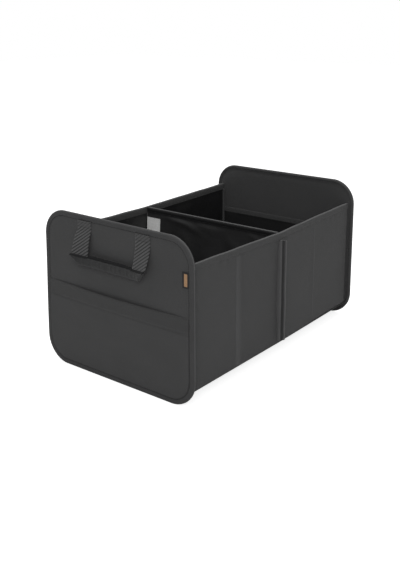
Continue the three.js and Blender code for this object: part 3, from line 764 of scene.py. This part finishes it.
def section_stations(direction, count=84):
    """Places along a wall section, closer together round its crease and its ends."""
    even = np.linspace(WALL_START, WALL_END, count)
    crease = CREASE_PLACE + np.linspace(-CREASE_HALF, CREASE_HALF, 19)
    inner = WALL_START + np.linspace(0, 8 * MM, 13)
    outer = WALL_END - np.linspace(0, 8 * MM, 9)
    places = np.unique(np.round(np.concatenate([even, crease, inner, outer]), 6))
    return np.sort(direction * places)


def is_deep(facing, direction):
    """True for the section left of the divider's seam, as seen from outside."""
    return facing * direction > 0


def wall_grid(x, facing, rows):
    """Grids of x and z over a wall section below its top edge."""
    share = np.linspace(0, 1, rows)
    foot = wall_foot(x, facing)
    z = foot + (wall_top(x) - 1.1 * MM - foot) * share[:, None]
    return np.repeat(x[None, :], rows, axis=0), z


def wall_cover(side, end, facing, direction, seed):
    """The outer fabric of a wall section, drawn between its seams, crease and hem."""
    deep = is_deep(facing, direction)
    x, z = wall_grid(section_stations(direction), facing, 84)
    below_top = wall_top(x) - z
    above_foot = z - wall_foot(x, facing)
    seam = np.abs(x) - WALL_START
    relief = 0.5 * MM + 0.35 * MM * ripple(x, 0.6 * z, 110 * MM, seed)
    fade = np.exp(-np.clip(below_top - HEM_HEIGHT, 0, 1) / (10 * MM))
    relief = relief + 0.2 * MM * ripple(x, 0.12 * z, 12 * MM, seed + 1) * fade
    relief = relief + 0.12 * MM * ripple(x, 0.1 * z, 5 * MM, seed + 2) * fade ** 2
    low = bell(above_foot - 3 * MM, 5 * MM)
    relief = relief + 0.3 * MM * ripple(x, 0.5 * z, 8 * MM, seed + 3) * low
    relief = relief + crease_form(x, z, deep) * ease(above_foot, 0, 8 * MM)
    relief = relief * ease(seam, 2 * MM, 16 * MM) * ease(WALL_END - np.abs(x), 0, 10 * MM)
    relief = relief - 0.6 * MM * bell(WALL_END - np.abs(x), 3 * MM)
    relief = relief + 0.3 * MM * bell(above_foot - 2.2 * MM, 1.6 * MM)
    relief = relief - 0.5 * MM * bell(above_foot - 6 * MM, 1.2 * MM)
    relief = relief * ease(below_top, HEM_HEIGHT - 5 * MM, HEM_HEIGHT)
    face = WALL_FACE - wall_lean(x) - seam_dip(x, z, deep)
    front = spread(x, facing * (face + np.maximum(relief, -2.9 * MM)), z)
    back = spread(x, facing * (face - 3.4 * MM), z)
    piece = closed_sheet(f"{side}_{end}_cover", front, back)
    # Only the sections left of the seam get the painted crease highlight and shade
    cloth = cover_xz if deep else cover_xz_plain
    finish_piece(piece, "box", cloth, "cover_fabric", f"{side}_{end}_wall_cover")


def wall_board(side, end, half, facing, direction):
    """The stiff board between the fabrics, drawn in with them beside the divider's seam."""
    node = f"{side}_{end}_wall_{half}_board"
    low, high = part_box(node)
    x = np.linspace(low.x, high.x, 20)
    share = np.linspace(0, 1, 24)
    foot = np.maximum(wall_foot(x, facing) + 1.5 * MM, low.z)
    top = np.minimum(wall_top(x) - 2.5 * MM, high.z)
    z = foot + (top - foot) * share[:, None]
    x = np.repeat(x[None, :], len(share), axis=0)
    face = WALL_FACE - wall_lean(x) - seam_dip(x, z, is_deep(facing, direction))
    front = spread(x, facing * (face - 1.3 * MM), z)
    back = spread(x, facing * (face - 3.1 * MM), z)
    piece = closed_sheet(f"{side}_{end}_{half}_stiffener", front, back)
    finish_piece(piece, "box", board, "stiffener_board", node)


def wall_lining(side, end, facing, direction, seed):
    """The inside of a wall section, with soft slack folds."""
    x, z = wall_grid(section_stations(direction, 60), facing, 44)
    slack = np.clip(ripple(x, 0.5 * z, 60 * MM, seed), 0, 1) * 1.6 * MM
    slack = slack + np.clip(ripple(x, z, 35 * MM, seed + 1), 0, 1) * 0.6 * MM
    room = ease(np.abs(x), WALL_START, WALL_START + 20 * MM) * ease(WALL_END - np.abs(x), 0, 20 * MM)
    room = room * ease(wall_top(x) - z, HEM_HEIGHT, HEM_HEIGHT + 20 * MM)
    room = room * ease(z, WALL_BOTTOM + 6 * MM, WALL_BOTTOM + 25 * MM)
    face = WALL_FACE - wall_lean(x) - WALL_THICKNESS - seam_dip(x, z, is_deep(facing, direction))
    front = spread(x, facing * (face - slack * room), z)
    back = spread(x, facing * (face + LINING), z)
    piece = closed_sheet(f"{side}_{end}_lining", front, back)
    finish_piece(piece, "box", lining_xz, "lining_fabric", f"{side}_{end}_wall_lining")


# The hem's section: distance out from the wall's face and height above its top, in mm
HEM_SECTION = np.array([
    (0.05, -12.3), (0.55, -12.2), (0.75, -11.4), (0.62, -10.9), (0.3, -10.4), (0.7, -9.8),
    (0.95, -8.0), (1.0, -5.0), (0.95, -2.4), (0.75, -1.1), (0.1, -0.3), (-1.0, 0.0), (-3.2, 0.0),
    (-4.3, -0.3), (-4.95, -1.1), (-5.2, -2.4), (-5.25, -8.0), (-5.0, -9.8), (-4.75, -10.4),
    (-5.0, -11.0), (-5.1, -11.6), (-4.9, -12.0), (-4.5, -12.0), (-4.45, -1.6), (-3.9, -1.1),
    (-0.7, -1.1), (-0.2, -1.6),
]) * MM


def wall_hem(side, facing, seed):
    """Cover fabric turned over the wall's top edge, gathered a little along its stitching."""
    x = np.unique(np.concatenate([section_stations(-1, 130), [0.0], section_stations(1, 130)]))
    out = HEM_SECTION[:, 0]
    up = HEM_SECTION[:, 1]
    gather = ripple(x, 0 * x, 9 * MM, seed) + 0.5 * ripple(x, 0 * x, 4.5 * MM, seed + 1)
    low = ease(-up, 4 * MM, 10 * MM)
    outer = np.where(out > -WALL_THICKNESS / 2, 1.0, -1.0)
    lift = 0.2 * MM * gather[:, None] * low * outer
    drop = 0.35 * MM * ripple(x, 0 * x, 60 * MM, seed + 2)[:, None]
    y = WALL_FACE - wall_lean(x)[:, None] + out + lift
    z = wall_top(x)[:, None] + up + drop * (1 - low)
    rings = spread(x[:, None], facing * y, z)
    piece = swept(f"{side}_hem", rings, closed=False)
    finish_piece(piece, "box", hem_fold, "cover_fabric", f"{side}_wall_top_hem")
    places = np.arange(-WALL_END + 3 * MM, WALL_END - 2 * MM, HEM_STITCH_PITCH)
    height = wall_top(places) - 10.4 * MM
    for name, offset, sign in (("outer", 0.38 * MM, 1.0), ("inner", -4.8 * MM, -1.0)):
        points = spread(places, facing * (WALL_FACE - wall_lean(places) + offset), height)
        sewn_row(
            f"{side}_hem_stitches_{name}", points, (1, 0, 0), (0, facing * sign, 0), 2.6 * MM,
            THREAD_RADIUS, thread, "cover_fabric",
        )


FIN_LEAN = 0.4 * MM


def seam_fin(side, facing, seed):
    """The seam allowances at the divider: a folded root with a painted highlight, allowances partly lining
    and partly painted shade, and a taped outer edge.
    """
    low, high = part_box(f"{side}_divider_seam")
    reach = max(abs(low.y), abs(high.y)) - WALL_FACE
    z = np.linspace(low.z + 3 * MM, high.z, 110)
    sway = 0.4 * MM * ripple(z, 0 * z, 70 * MM, seed)
    fold = 0.3 * MM * ripple(z, 0 * z, 14 * MM, seed + 1)
    tip = reach / MM
    strips = (
        ("root", root_highlight_cloth, [
            (-2.6, -6.0), (-3.2, -1.0), (-3.2, 1.4), (-2.5, 3.2), (-1.2, 4.2), (1.6, 4.2),
            (2.5, 3.4), (3.0, 1.6), (2.9, -1.0), (2.6, -3.0),
        ]),
        ("allowance", allowance_lining_and_shade, [
            (-1.5, 3.0), (-1.6, 6.0), (-1.4, tip - 1.4), (1.4, tip - 1.4), (1.6, 6.0), (1.5, 3.0),
        ]),
        ("tape", fin_tape, [
            (-2.2, tip - 2.4), (-2.5, tip - 1.4), (-2.2, tip - 0.5), (-1.2, tip), (1.2, tip),
            (2.2, tip - 0.5), (2.5, tip - 1.4), (2.2, tip - 2.4),
        ]),
    )
    for name, material, section in strips:
        section = np.array(section) * MM
        free = section[:, 1] / reach
        x = section[:, 0] + (sway[:, None] - facing * FIN_LEAN) * np.maximum(free, 0)
        y = WALL_FACE + section[:, 1] + fold[:, None] * free * 0.5
        foot = 5 * MM * np.clip(free, 0, 1) * (1 - ease(z, low.z, low.z + 40 * MM))[:, None]
        rings = spread(x, facing * y, z[:, None] + foot)
        piece = swept(f"{side}_seam_{name}", rings, closed=False)
        if name == "tape":
            finish_piece(piece, "box", material, "binding_tape", f"{side}_divider_seam")
        else:
            slot = "cover_fabric" if name == "root" else "lining_fabric"
            finish_piece(piece, "box", material, slot)


def corner_seam(end, facing, seed):
    """The bound seam that stands in the inside corner between a wall and an end panel."""
    z = np.linspace(WALL_BOTTOM + 12 * MM, WALL_TOP_AT_PANEL - HEM_HEIGHT, 60)
    inner = WALL_FACE - WALL_TAPER - WALL_THICKNESS
    section = np.array([
        (0.0, 0.6), (0.0, -3.2), (-0.6, -3.8), (-1.4, -3.8), (-2.0, -3.2), (-2.0, 0.6),
    ]) * MM
    sway = 0.3 * MM * ripple(z, 0 * z, 40 * MM, seed)
    x = WALL_END - 0.8 * MM + section[:, 0] + sway[:, None] * (section[:, 1] < 0)
    y = inner + section[:, 1]
    rings = spread(-x, facing * y, z[:, None])
    piece = swept(f"{end}_{'front' if facing < 0 else 'back'}_corner_tape", turned(rings, end), closed=False)
    finish_piece(piece, "box", fin_tape, "binding_tape")


# Divider

DIVIDER_FOLDS = [
    ([(118, 206), (101, 212), (72, 208), (45, 201), (26, 194), (8, 184)], 7.0, 2.6),
    ([(36, 200), (14, 205), (-12, 202), (-40, 206)], 9.0, 1.4),
    ([(70, 190), (52, 170), (48, 140), (40, 110)], 12.0, 2.2),
    ([(-30, 196), (-58, 178), (-96, 170)], 11.0, 1.8),
    ([(-84, 214), (-104, 200), (-128, 196)], 7.0, 1.2),
    ([(10, 150), (-24, 120), (-70, 96)], 14.0, 2.4),
]


def divider_face(name, node, facing, seed):
    """One lined face of the divider, slack enough to hold soft folds."""
    low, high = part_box(node)
    shoulder = DIVIDER_TOP - HEM_HEIGHT - 0.3 * MM
    heights = np.concatenate([
        np.linspace(low.z, shoulder, 96, endpoint=False),
        np.linspace(shoulder, DIVIDER_TOP - 1.1 * MM, 10),
    ])
    neck = DIVIDER_BINDING_SIDE
    across = np.linspace(-1, 1, 130)
    side = np.where(heights > shoulder + 0.01 * MM, neck, high.y)
    y = side[:, None] * across
    z = np.repeat(heights[:, None], len(across), axis=1)
    slack = np.zeros_like(y)
    for line, width, height in DIVIDER_FOLDS:
        places = [(facing * -a * MM, b * MM) for a, b in line]
        slack = slack + height * MM * fold_ridge(y, z, places, width * MM)
    slack = slack + 0.7 * MM * np.clip(ripple(y, z, 70 * MM, seed), 0, 1)
    room = ease(neck - np.abs(y), 0, 16 * MM) * ease(DIVIDER_TOP - 10 * MM - z, -2 * MM, 8 * MM)
    room = room * ease(z, low.z, low.z + 20 * MM)
    face = abs(low.x if facing < 0 else high.x)
    front = spread(facing * (face + slack * room), y, z)
    back = spread(facing * (face - LINING), y, z)
    piece = closed_sheet(name, front, back)
    finish_piece(piece, "box", divider_lining_lit, "lining_fabric", node)


def divider_binding(seed):
    """Tape over the divider's top edge."""
    y = np.linspace(-DIVIDER_BINDING_SIDE, DIVIDER_BINDING_SIDE, 260)
    half = np.array([
        (2.45, -10.0), (3.0, -9.9), (3.1, -9.0), (2.85, -8.2), (3.1, -7.4), (3.2, -4.0), (3.0, -1.6),
        (2.2, -0.5), (1.0, 0.0),
    ])
    inside = [(-2.4, -1.4), (2.4, -1.4)]
    section = np.concatenate([half, half[::-1] * (-1, 1), inside]) * MM
    gather = ripple(y, 0 * y, 8 * MM, seed)
    low = ease(-section[:, 1], 4 * MM, 9 * MM) * np.sign(section[:, 0])
    x = section[:, 0] + 0.14 * MM * gather[:, None] * low
    dip = 0.6 * MM * np.cos(math.pi * y / (2 * DIVIDER_BINDING_SIDE))
    z = DIVIDER_TOP + section[:, 1] - dip[:, None] * 0.5
    rings = spread(x, y[:, None], z)
    piece = swept("divider_edge", rings, closed=False)
    finish_piece(piece, "box", divider_tape, "binding_tape", "divider_top_binding")
    side = DIVIDER_BINDING_SIDE
    places = np.arange(-side + 3 * MM, side - 2 * MM, HEM_STITCH_PITCH)
    for name, sign in (("near", -1.0), ("far", 1.0)):
        points = spread(sign * 2.95 * MM, places, DIVIDER_TOP - 8.3 * MM)
        sewn_row(
            f"divider_stitches_{name}", points, (0, 1, 0), (sign, 0, 0), 2.6 * MM, THREAD_RADIUS,
            thread, "binding_tape",
        )


# Pocket, handles, labels and floor

POCKET_SIDE = POCKET_HIGH.y
POCKET_TOP = POCKET_HIGH.z
POCKET_SAG = 1.8 * MM
POCKET_BULGE = 4.5 * MM
POCKET_HEM = 28 * MM
STRAP_WIDTH = SEWN_HIGH.y - SEWN_LOW.y
STRAP_PLACE = (SEWN_HIGH.y + SEWN_LOW.y) / 2
STRAP_FACE = -SEWN_HIGH.x
STRAP_THICKNESS = 2 * MM
STRAP_SEAM = SEWN_LOW.z
STRAP_TOP = SEWN_HIGH.z
GRIP_TOP = GRIP_HIGH.z
GRIP_HEIGHT = GRIP_HIGH.z - GRIP_LOW.z
GRIP_THICKNESS = GRIP_HIGH.x - GRIP_LOW.x
GRIP_CORNER = 14 * MM


def pocket_bottom(y):
    """The height of the pocket's lower edge, which follows the panel's corners."""
    radius = PANEL_RADIUS - BINDING_WIDTH - 0.3 * MM
    past = np.clip(np.abs(y) - (PANEL_SIDE - PANEL_RADIUS), 0, radius)
    return PANEL_RADIUS - np.sqrt(radius ** 2 - past ** 2)


def front_pocket():
    """The open pocket: its hemmed mouth stands off the panel and sags in the middle."""
    straight = PANEL_SIDE - PANEL_RADIUS
    turn = np.linspace(0, math.pi / 2, 14)[1:]
    corner = straight + (POCKET_SIDE - straight) * np.sin(turn)
    y = np.concatenate([-corner[::-1], np.linspace(-straight, straight, 110), corner])
    mouth = POCKET_TOP - POCKET_SAG * (1 - (y / POCKET_SIDE) ** 2)
    bottom = pocket_bottom(y)
    share = np.concatenate([np.linspace(0, 0.78, 50, endpoint=False), np.linspace(0.78, 1, 34)])
    z = bottom + (mouth - bottom) * share[:, None]
    y = np.repeat(y[None, :], len(share), axis=0)
    from_mouth = mouth - z
    rise = 0.28 * ease(z, BINDING_WIDTH, mouth - POCKET_HEM)
    rise = rise + 0.72 * np.clip(1 - from_mouth / POCKET_HEM, 0, 1)
    bulge = POCKET_BULGE * np.cos(math.pi / 2 * y / POCKET_SIDE) * rise
    hem = 0.25 * MM * ease(POCKET_HEM - from_mouth, -3 * MM, 3 * MM)
    seam = -0.7 * MM * bell(from_mouth - POCKET_HEM + 2.5 * MM, 2.6 * MM)
    roll = -0.9 * MM * bell(from_mouth, 1.0 * MM)
    slack = 0.5 * MM * ripple(y * 0.5, z, 42 * MM, 41) * ease(from_mouth, POCKET_HEM, POCKET_HEM + 20 * MM)
    pucker = 0.16 * MM * ripple(y, 0.1 * z, 9 * MM, 42) * bell(from_mouth - POCKET_HEM + 3 * MM, 6 * MM)
    edge = ease(rim_distance(y, z), BINDING_WIDTH, BINDING_WIDTH + 16 * MM)
    back_x = -HALF_LENGTH + 0.8 * MM
    inner = back_x - bulge
    outer = back_x - COVER - bulge - (hem + seam + slack + pucker) * edge - roll
    front = spread(outer, y, z)
    back = spread(inner, y, z)
    piece = closed_sheet("pocket", leaned(front), leaned(back))
    finish_piece(piece, "box", pocket_cloth, "cover_fabric", "front_pocket")


OUTER_REACH = 17 * MM
INNER_REACH = 7.5 * MM


def grip_reach(y):
    """How far the grip stands off the panel: its ends curl out more than its middle."""
    outer = STRAP_PLACE + STRAP_WIDTH / 2
    return INNER_REACH + (OUTER_REACH - INNER_REACH) * np.clip(np.abs(y) / outer, 0, 1.03) ** 3.2


def grip_rise(y):
    """How much higher the grip's ends stand than its middle."""
    return 0.33 * (grip_reach(y) - INNER_REACH)


def strap_reach(y, height):
    """How far a strap stands off the panel at a place."""
    share = np.clip((STRAP_SEAM - height) / (STRAP_SEAM - GRIP_TOP), 0, 1)
    straight = share * (1.5 - 0.5 * share) * ease(share, 0, 0.25)
    hanging = share ** 2 * (1.3 - 0.3 * share)
    return grip_reach(y) * np.where(y > 0, straight, hanging)


def strap_sheet(centre, end):
    """One strap from its sewn end down into the grip, with slanting ribs on both faces."""
    height = np.linspace(STRAP_TOP + 0.2 * MM, GRIP_TOP - 1 * MM, 130)
    across = np.linspace(-0.5, 0.5, 48) * STRAP_WIDTH
    z = np.repeat(height[:, None], len(across), axis=1)
    y = centre + np.repeat(across[None, :], len(height), axis=0)
    rib = np.abs(np.sin(math.pi * (RIB_SLOPE * y + z) / RIB_PITCH))
    rib = 0.5 * MM * (np.sqrt(rib) - 0.5)
    edge = bell(STRAP_WIDTH / 2 - np.abs(y - centre), 0.7 * MM)
    seam = bell(z - STRAP_SEAM - 1.6 * MM, 0.9 * MM)
    middle = -STRAP_FACE - STRAP_THICKNESS / 2 - strap_reach(y, z)
    half = STRAP_THICKNESS / 2 + rib * (1 - edge) - 0.5 * MM * edge - 0.6 * MM * seam
    front = spread(middle - half, y, z)
    back = spread(middle + STRAP_THICKNESS / 2, y, z)
    return turned(front, end), turned(back, end)


def handle_straps(end):
    """Both straps as one piece that bends below their sewn ends, and their stitches."""
    points = []
    faces = []
    for centre in (-STRAP_PLACE, STRAP_PLACE):
        start = sum(len(p) for p in points)
        front, back = strap_sheet(centre, end)
        new_points, new_faces = sheet_parts(front, back, start)
        points.append(new_points)
        faces += new_faces
    piece = make_mesh(f"{end}_straps", np.concatenate(points), faces)
    piece.data.materials.append(strap_webbing)
    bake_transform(piece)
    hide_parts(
        f"{end}_handle_webbing", f"{end}_handle_left_sewn_end", f"{end}_handle_right_sewn_end",
    )
    depth = -STRAP_FACE - STRAP_THICKNESS - 0.02 * MM
    half = STRAP_WIDTH / 2
    for centre in (-STRAP_PLACE, STRAP_PLACE):
        places = np.arange(centre - half + 2 * MM, centre + half - 1 * MM, 2.9 * MM)
        rows = [spread(depth, places, STRAP_SEAM + height) for height in (1.6 * MM, 8.2 * MM)]
        name = f"{end}_strap_stitches_{'left' if centre > 0 else 'right'}"
        sewn_row(
            name, np.concatenate(rows), (0, 1, 0), (-1, 0, 0), 2.3 * MM, 0.3 * MM,
            thread, "webbing", end,
        )


def handle_grip(end, seed):
    """The sewn sleeve round the folded webbing, with its ends folded at a slant."""
    half = GRIP_HIGH.y
    inner = np.linspace(-half + GRIP_CORNER, half - GRIP_CORNER, 90)
    corner = np.linspace(half - GRIP_CORNER, half, 22)[1:]
    y = np.concatenate([-corner[::-1], inner, corner])
    cut = np.clip(np.abs(y) - (half - GRIP_CORNER), 0, GRIP_CORNER)
    low = GRIP_LOW.z + cut
    high = np.full_like(y, GRIP_TOP)
    turn = round_turn(32)
    thick = GRIP_THICKNESS / 2 * np.sqrt(np.clip(1 - (np.abs(y) / half) ** 24, 0.12, 1))
    up = (high - low)[:, None] / 2
    shape_x = np.sign(np.cos(turn)) * np.abs(np.cos(turn)) ** 0.8
    shape_z = np.sign(np.sin(turn)) * np.abs(np.sin(turn)) ** 0.7
    crumple = 0.35 * MM * ripple(y[:, None], 0.6 * GRIP_HEIGHT * np.sin(turn), 17 * MM, seed)
    wrinkle = 0.3 * MM * ripple(y[:, None] * 1.5, 4 * MM * turn, 10 * MM, seed + 1)
    middle = -STRAP_FACE - STRAP_THICKNESS / 2 - grip_reach(y)[:, None]
    soft = ease(half - np.abs(y), 1 * MM, 12 * MM)[:, None]
    crumple = crumple * soft
    x = middle + (thick[:, None] + crumple + wrinkle * soft) * shape_x
    z = (high + low)[:, None] / 2 + up * shape_z + 0.4 * crumple + grip_rise(y)[:, None]
    rings = spread(x, y[:, None], z)
    piece = swept(f"{end}_grip", turned(rings, end), closed=False)
    finish_piece(piece, f"{end}_handle", grip_cloth, "grip_fabric", f"{end}_handle_grip")
    grip_shadow_strip(end, seed + 5)


def grip_shadow_strip(end, seed):
    """A dark cord along the sleeve's top, higher between the straps: painted shadow of the gap between the
    grip and the panel.
    """
    half = GRIP_HIGH.y - 1 * MM
    y = np.linspace(-half, half, 160)
    between = 1 - ease(np.abs(y), STRAP_PLACE - STRAP_WIDTH / 2 - 3 * MM, STRAP_PLACE - STRAP_WIDTH / 2)
    turn = round_turn(16)
    wave = 0.25 * MM * ripple(y, 0 * y, 12 * MM, seed)
    middle = -STRAP_FACE - STRAP_THICKNESS / 2 - grip_reach(y)
    x = (middle + wave)[:, None] + (3.3 - 1.5 * between)[:, None] * MM * np.cos(turn)
    height = GRIP_TOP + grip_rise(y) + wave + 1.2 * MM * between
    z = height[:, None] + (1.5 + 1.5 * between)[:, None] * MM * np.sin(turn)
    rings = spread(x, y[:, None], z)
    piece = swept(f"{end}_grip_shadow_strip", turned(rings, end), closed=False)
    finish_piece(piece, f"{end}_handle", shadow_cord, "grip_fabric")


def side_tag():
    """A folded woven tag caught under the binding."""
    shift_y = -1.8 * MM
    shift_z = 1.5 * MM
    y = np.linspace(TAG_LOW.y, TAG_HIGH.y, 24) + shift_y
    z = np.linspace(TAG_LOW.z, TAG_HIGH.z, 32) + shift_z
    y, z = np.meshgrid(y, z)
    free = ease(y - shift_y, TAG_LOW.y, TAG_HIGH.y)
    lift = 0.5 * MM * free + 0.12 * MM * ripple(y, z, 12 * MM, 61)
    edge = bell(TAG_HIGH.y + shift_y - y, 0.5 * MM) + bell(TAG_HIGH.z + shift_z - z, 0.4 * MM)
    edge = edge + bell(z - TAG_LOW.z - shift_z, 0.4 * MM)
    front = spread(TAG_LOW.x - lift + 0.3 * MM * np.clip(edge, 0, 1), y, z)
    back = spread(TAG_HIGH.x - lift * 0.8, y, z)
    piece = closed_sheet("tag", leaned(front), leaned(back))
    field_low = Vector((0, TAG_LOW.y + 3.0 * MM + shift_y, TAG_LOW.z + 2.6 * MM + shift_z))
    field_high = Vector((0, TAG_HIGH.y - 3.2 * MM + shift_y, TAG_HIGH.z - 2.6 * MM + shift_z))
    cloth = tag_cloth("tag_cloth", TAG_EDGE_TONE, TAG_FIELD_TONE, field_low, field_high)
    finish_piece(piece, "box", cloth, "tag_fabric", "side_tag")


def care_label():
    """A white satin label sewn to the divider by its top edge."""
    share = np.linspace(0, 1, 40)
    across = np.linspace(0, 1, 24)
    s, a = np.meshgrid(share, across, indexing="ij")
    z = LABEL_HIGH.z - s * (LABEL_HIGH.z - LABEL_LOW.z)
    y = LABEL_LOW.y + a * (LABEL_HIGH.y - LABEL_LOW.y)
    stand = 0.6 * MM + 5.5 * MM * s ** 1.4 + 0.8 * MM * np.sin(math.pi * a) * s
    x = DIVIDER_NEAR_FACE - stand
    front = spread(x - 0.25 * MM, y, z)
    back = spread(x + 0.25 * MM, y, z)
    piece = closed_sheet("label", front, back)
    finish_piece(piece, "box", label_satin, "label_satin", "care_label")


def floor_sleeve(end, seed):
    """The fabric sleeve round a floor board, with soft rounded edges."""
    low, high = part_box("near_floor_sleeve")
    share_x = 0.5 - 0.5 * np.cos(np.linspace(0, math.pi, 60))
    share_y = 0.5 - 0.5 * np.cos(np.linspace(0, math.pi, 70))
    x = low.x + (high.x - low.x) * share_x
    y = low.y + (high.y - low.y) * share_y
    x, y = np.meshgrid(x, y)
    rim = np.minimum(np.minimum(x - low.x, high.x - x), np.minimum(y - low.y, high.y - y))
    rounded = np.sqrt(np.clip(1 - (1 - np.clip(rim / (2.2 * MM), 0, 1)) ** 2, 0, 1))
    middle = (low.z + high.z) / 2
    half = (high.z - low.z) / 2
    swell = 0.25 * MM * ripple(x, y, 80 * MM, seed) * ease(rim, 0, 20 * MM)
    front = spread(x, y, middle + half * (0.35 + 0.65 * rounded) + swell)
    back = spread(x, y, middle - half * (0.35 + 0.65 * rounded))
    piece = closed_sheet(f"{end}_floor", turned(front, end, False), turned(back, end, False))
    finish_piece(piece, f"{end}_floor", lining_xy, "lining_fabric", f"{end}_floor_sleeve")


def base_sheet():
    """The fabric bottom, sewn to the walls and panels."""
    low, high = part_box("base_sheet")
    tuck = 2 * MM
    x, share = np.meshgrid(np.linspace(low.x - tuck, high.x + tuck, 70), np.linspace(-1, 1, 44))
    side = high.y - WALL_TAPER * np.abs(x) / WALL_END
    y = side * share
    rim = np.minimum(np.minimum(x - low.x, high.x - x), side - np.abs(y))
    sag = ease(rim, 0, 60 * MM) * (0.8 + 0.5 * ripple(x, y, 120 * MM, 81)) * MM
    front = spread(x, y, high.z - 0.2 * sag)
    back = spread(x, y, low.z - sag)
    piece = closed_sheet("base", front, back)
    finish_piece(piece, "box", cover_xy, "cover_fabric", "base_sheet")


for end, seed in (("near", 11), ("far", 23)):
    end_panel(end, seed)
    handle_straps(end)
    handle_grip(end, seed + 31)
    floor_sleeve(end, seed + 41)
for side, facing in (("front", -1.0), ("back", 1.0)):
    for end, direction in (("near", -1.0), ("far", 1.0)):
        seed = 100 + 10 * int(direction) + int(facing)
        wall_cover(side, end, facing, direction, seed)
        wall_lining(side, end, facing, direction, seed + 50)
        wall_board(side, end, "inner", facing, direction)
        wall_board(side, end, "outer", facing, direction)
    wall_hem(side, facing, 200 + int(facing))
    seam_fin(side, facing, 220 + int(facing))
    corner_seam("near", facing, 240 + int(facing))
    corner_seam("far", facing, 250 + int(facing))
divider_face("divider_near_face", "divider_near_lining", -1.0, 301)
divider_face("divider_far_face", "divider_far_lining", 1.0, 302)
divider_binding(303)
front_pocket()
side_tag()
care_label()
base_sheet()

for name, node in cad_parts.items():
    if name in ("divider_board", "near_floor_board", "far_floor_board"):
        node.data.materials.clear()
        node.data.materials.append(board)


# Floor, light and camera

def pale_floor():
    """A floor that the camera sees as white and that keeps the shadow."""
    bpy.ops.mesh.primitive_plane_add(size=14, location=(0, 0, 0))
    floor = bpy.context.object
    floor.name = "floor"
    material = bpy.data.materials.new("floor")
    material.use_nodes = True
    tree = material.node_tree
    tree.nodes.clear()
    matte = add_node(tree, "ShaderNodeBsdfDiffuse", {"Color": (0.8, 0.8, 0.8, 1.0)})
    glow = add_node(tree, "ShaderNodeEmission", {"Color": (1.0, 1.0, 1.0, 1.0), "Strength": 0.8})
    both = add_node(tree, "ShaderNodeAddShader", {0: matte.outputs[0], 1: glow.outputs[0]})
    ray = add_node(tree, "ShaderNodeLightPath")
    pick = add_node(tree, "ShaderNodeMixShader", {
        "Fac": ray.outputs["Is Camera Ray"], 1: matte.outputs[0], 2: both.outputs[0],
    })
    add_node(tree, "ShaderNodeOutputMaterial", {"Surface": pick.outputs[0]})
    floor.data.materials.append(material)


def soft_world(strength):
    """A world that is white to the camera and gives the object plain light."""
    world = bpy.data.worlds.new("studio")
    bpy.context.scene.world = world
    world.use_nodes = True
    tree = world.node_tree
    tree.nodes.clear()
    ray = add_node(tree, "ShaderNodeLightPath")
    level = ranged(tree, ray.outputs["Is Camera Ray"], 0.0, 1.0, strength, 1.0, "LINEAR")
    sky = add_node(tree, "ShaderNodeBackground", {"Color": (1.0, 1.0, 1.0, 1.0), "Strength": level})
    add_node(tree, "ShaderNodeOutputWorld", {"Surface": sky.outputs[0]})


def softbox(name, place, target, size, power):
    """A soft rectangular lamp that faces a target."""
    light = bpy.data.lights.new(name, "AREA")
    light.shape = "RECTANGLE"
    light.size = size[0]
    light.size_y = size[1]
    light.energy = power
    lamp = bpy.data.objects.new(name, light)
    lamp.location = place
    aim = Vector(target) - Vector(place)
    lamp.rotation_euler = aim.to_track_quat("-Z", "Y").to_euler()
    bpy.context.scene.collection.objects.link(lamp)


def camera():
    """The photograph's view: it looks along +X and +Y from above the near end's right."""
    focal_px = 786.5
    long_side_px = 570
    axis_above_middle_px = 85
    azimuth = math.radians(-51.74)
    elevation = math.radians(13.51)
    roll = math.radians(-0.25)
    place = Vector((-HALF_LENGTH - 0.8321, -0.8295, 0.5831))
    back = Vector((
        math.sin(azimuth) * math.cos(elevation),
        -math.cos(azimuth) * math.cos(elevation),
        math.sin(elevation),
    ))
    level = Vector((math.cos(azimuth), math.sin(azimuth), 0))
    upright = back.cross(level)
    right = level * math.cos(roll) + upright * math.sin(roll)
    up = upright * math.cos(roll) - level * math.sin(roll)
    data = bpy.data.cameras.new("view")
    data.sensor_width = 36
    data.lens = focal_px / long_side_px * data.sensor_width
    data.shift_y = -axis_above_middle_px / long_side_px
    data.clip_end = 50
    eye = bpy.data.objects.new("view", data)
    turn = Matrix((right, up, back)).transposed().to_4x4()
    eye.matrix_world = Matrix.Translation(place) @ turn
    bpy.context.scene.collection.objects.link(eye)
    bpy.context.scene.camera = eye


pale_floor()
soft_world(0.26)
softbox("front", (-1.95, -1.55, 1.5), (0, 0, 0.12), (1.3, 1.1), 24)
softbox("top", (0.1, 0.2, 2.6), (0, 0, 0.1), (1.8, 1.8), 34)
camera()
bpy.context.scene.view_settings.view_transform = "Standard"

bpy.context.view_layer.update()
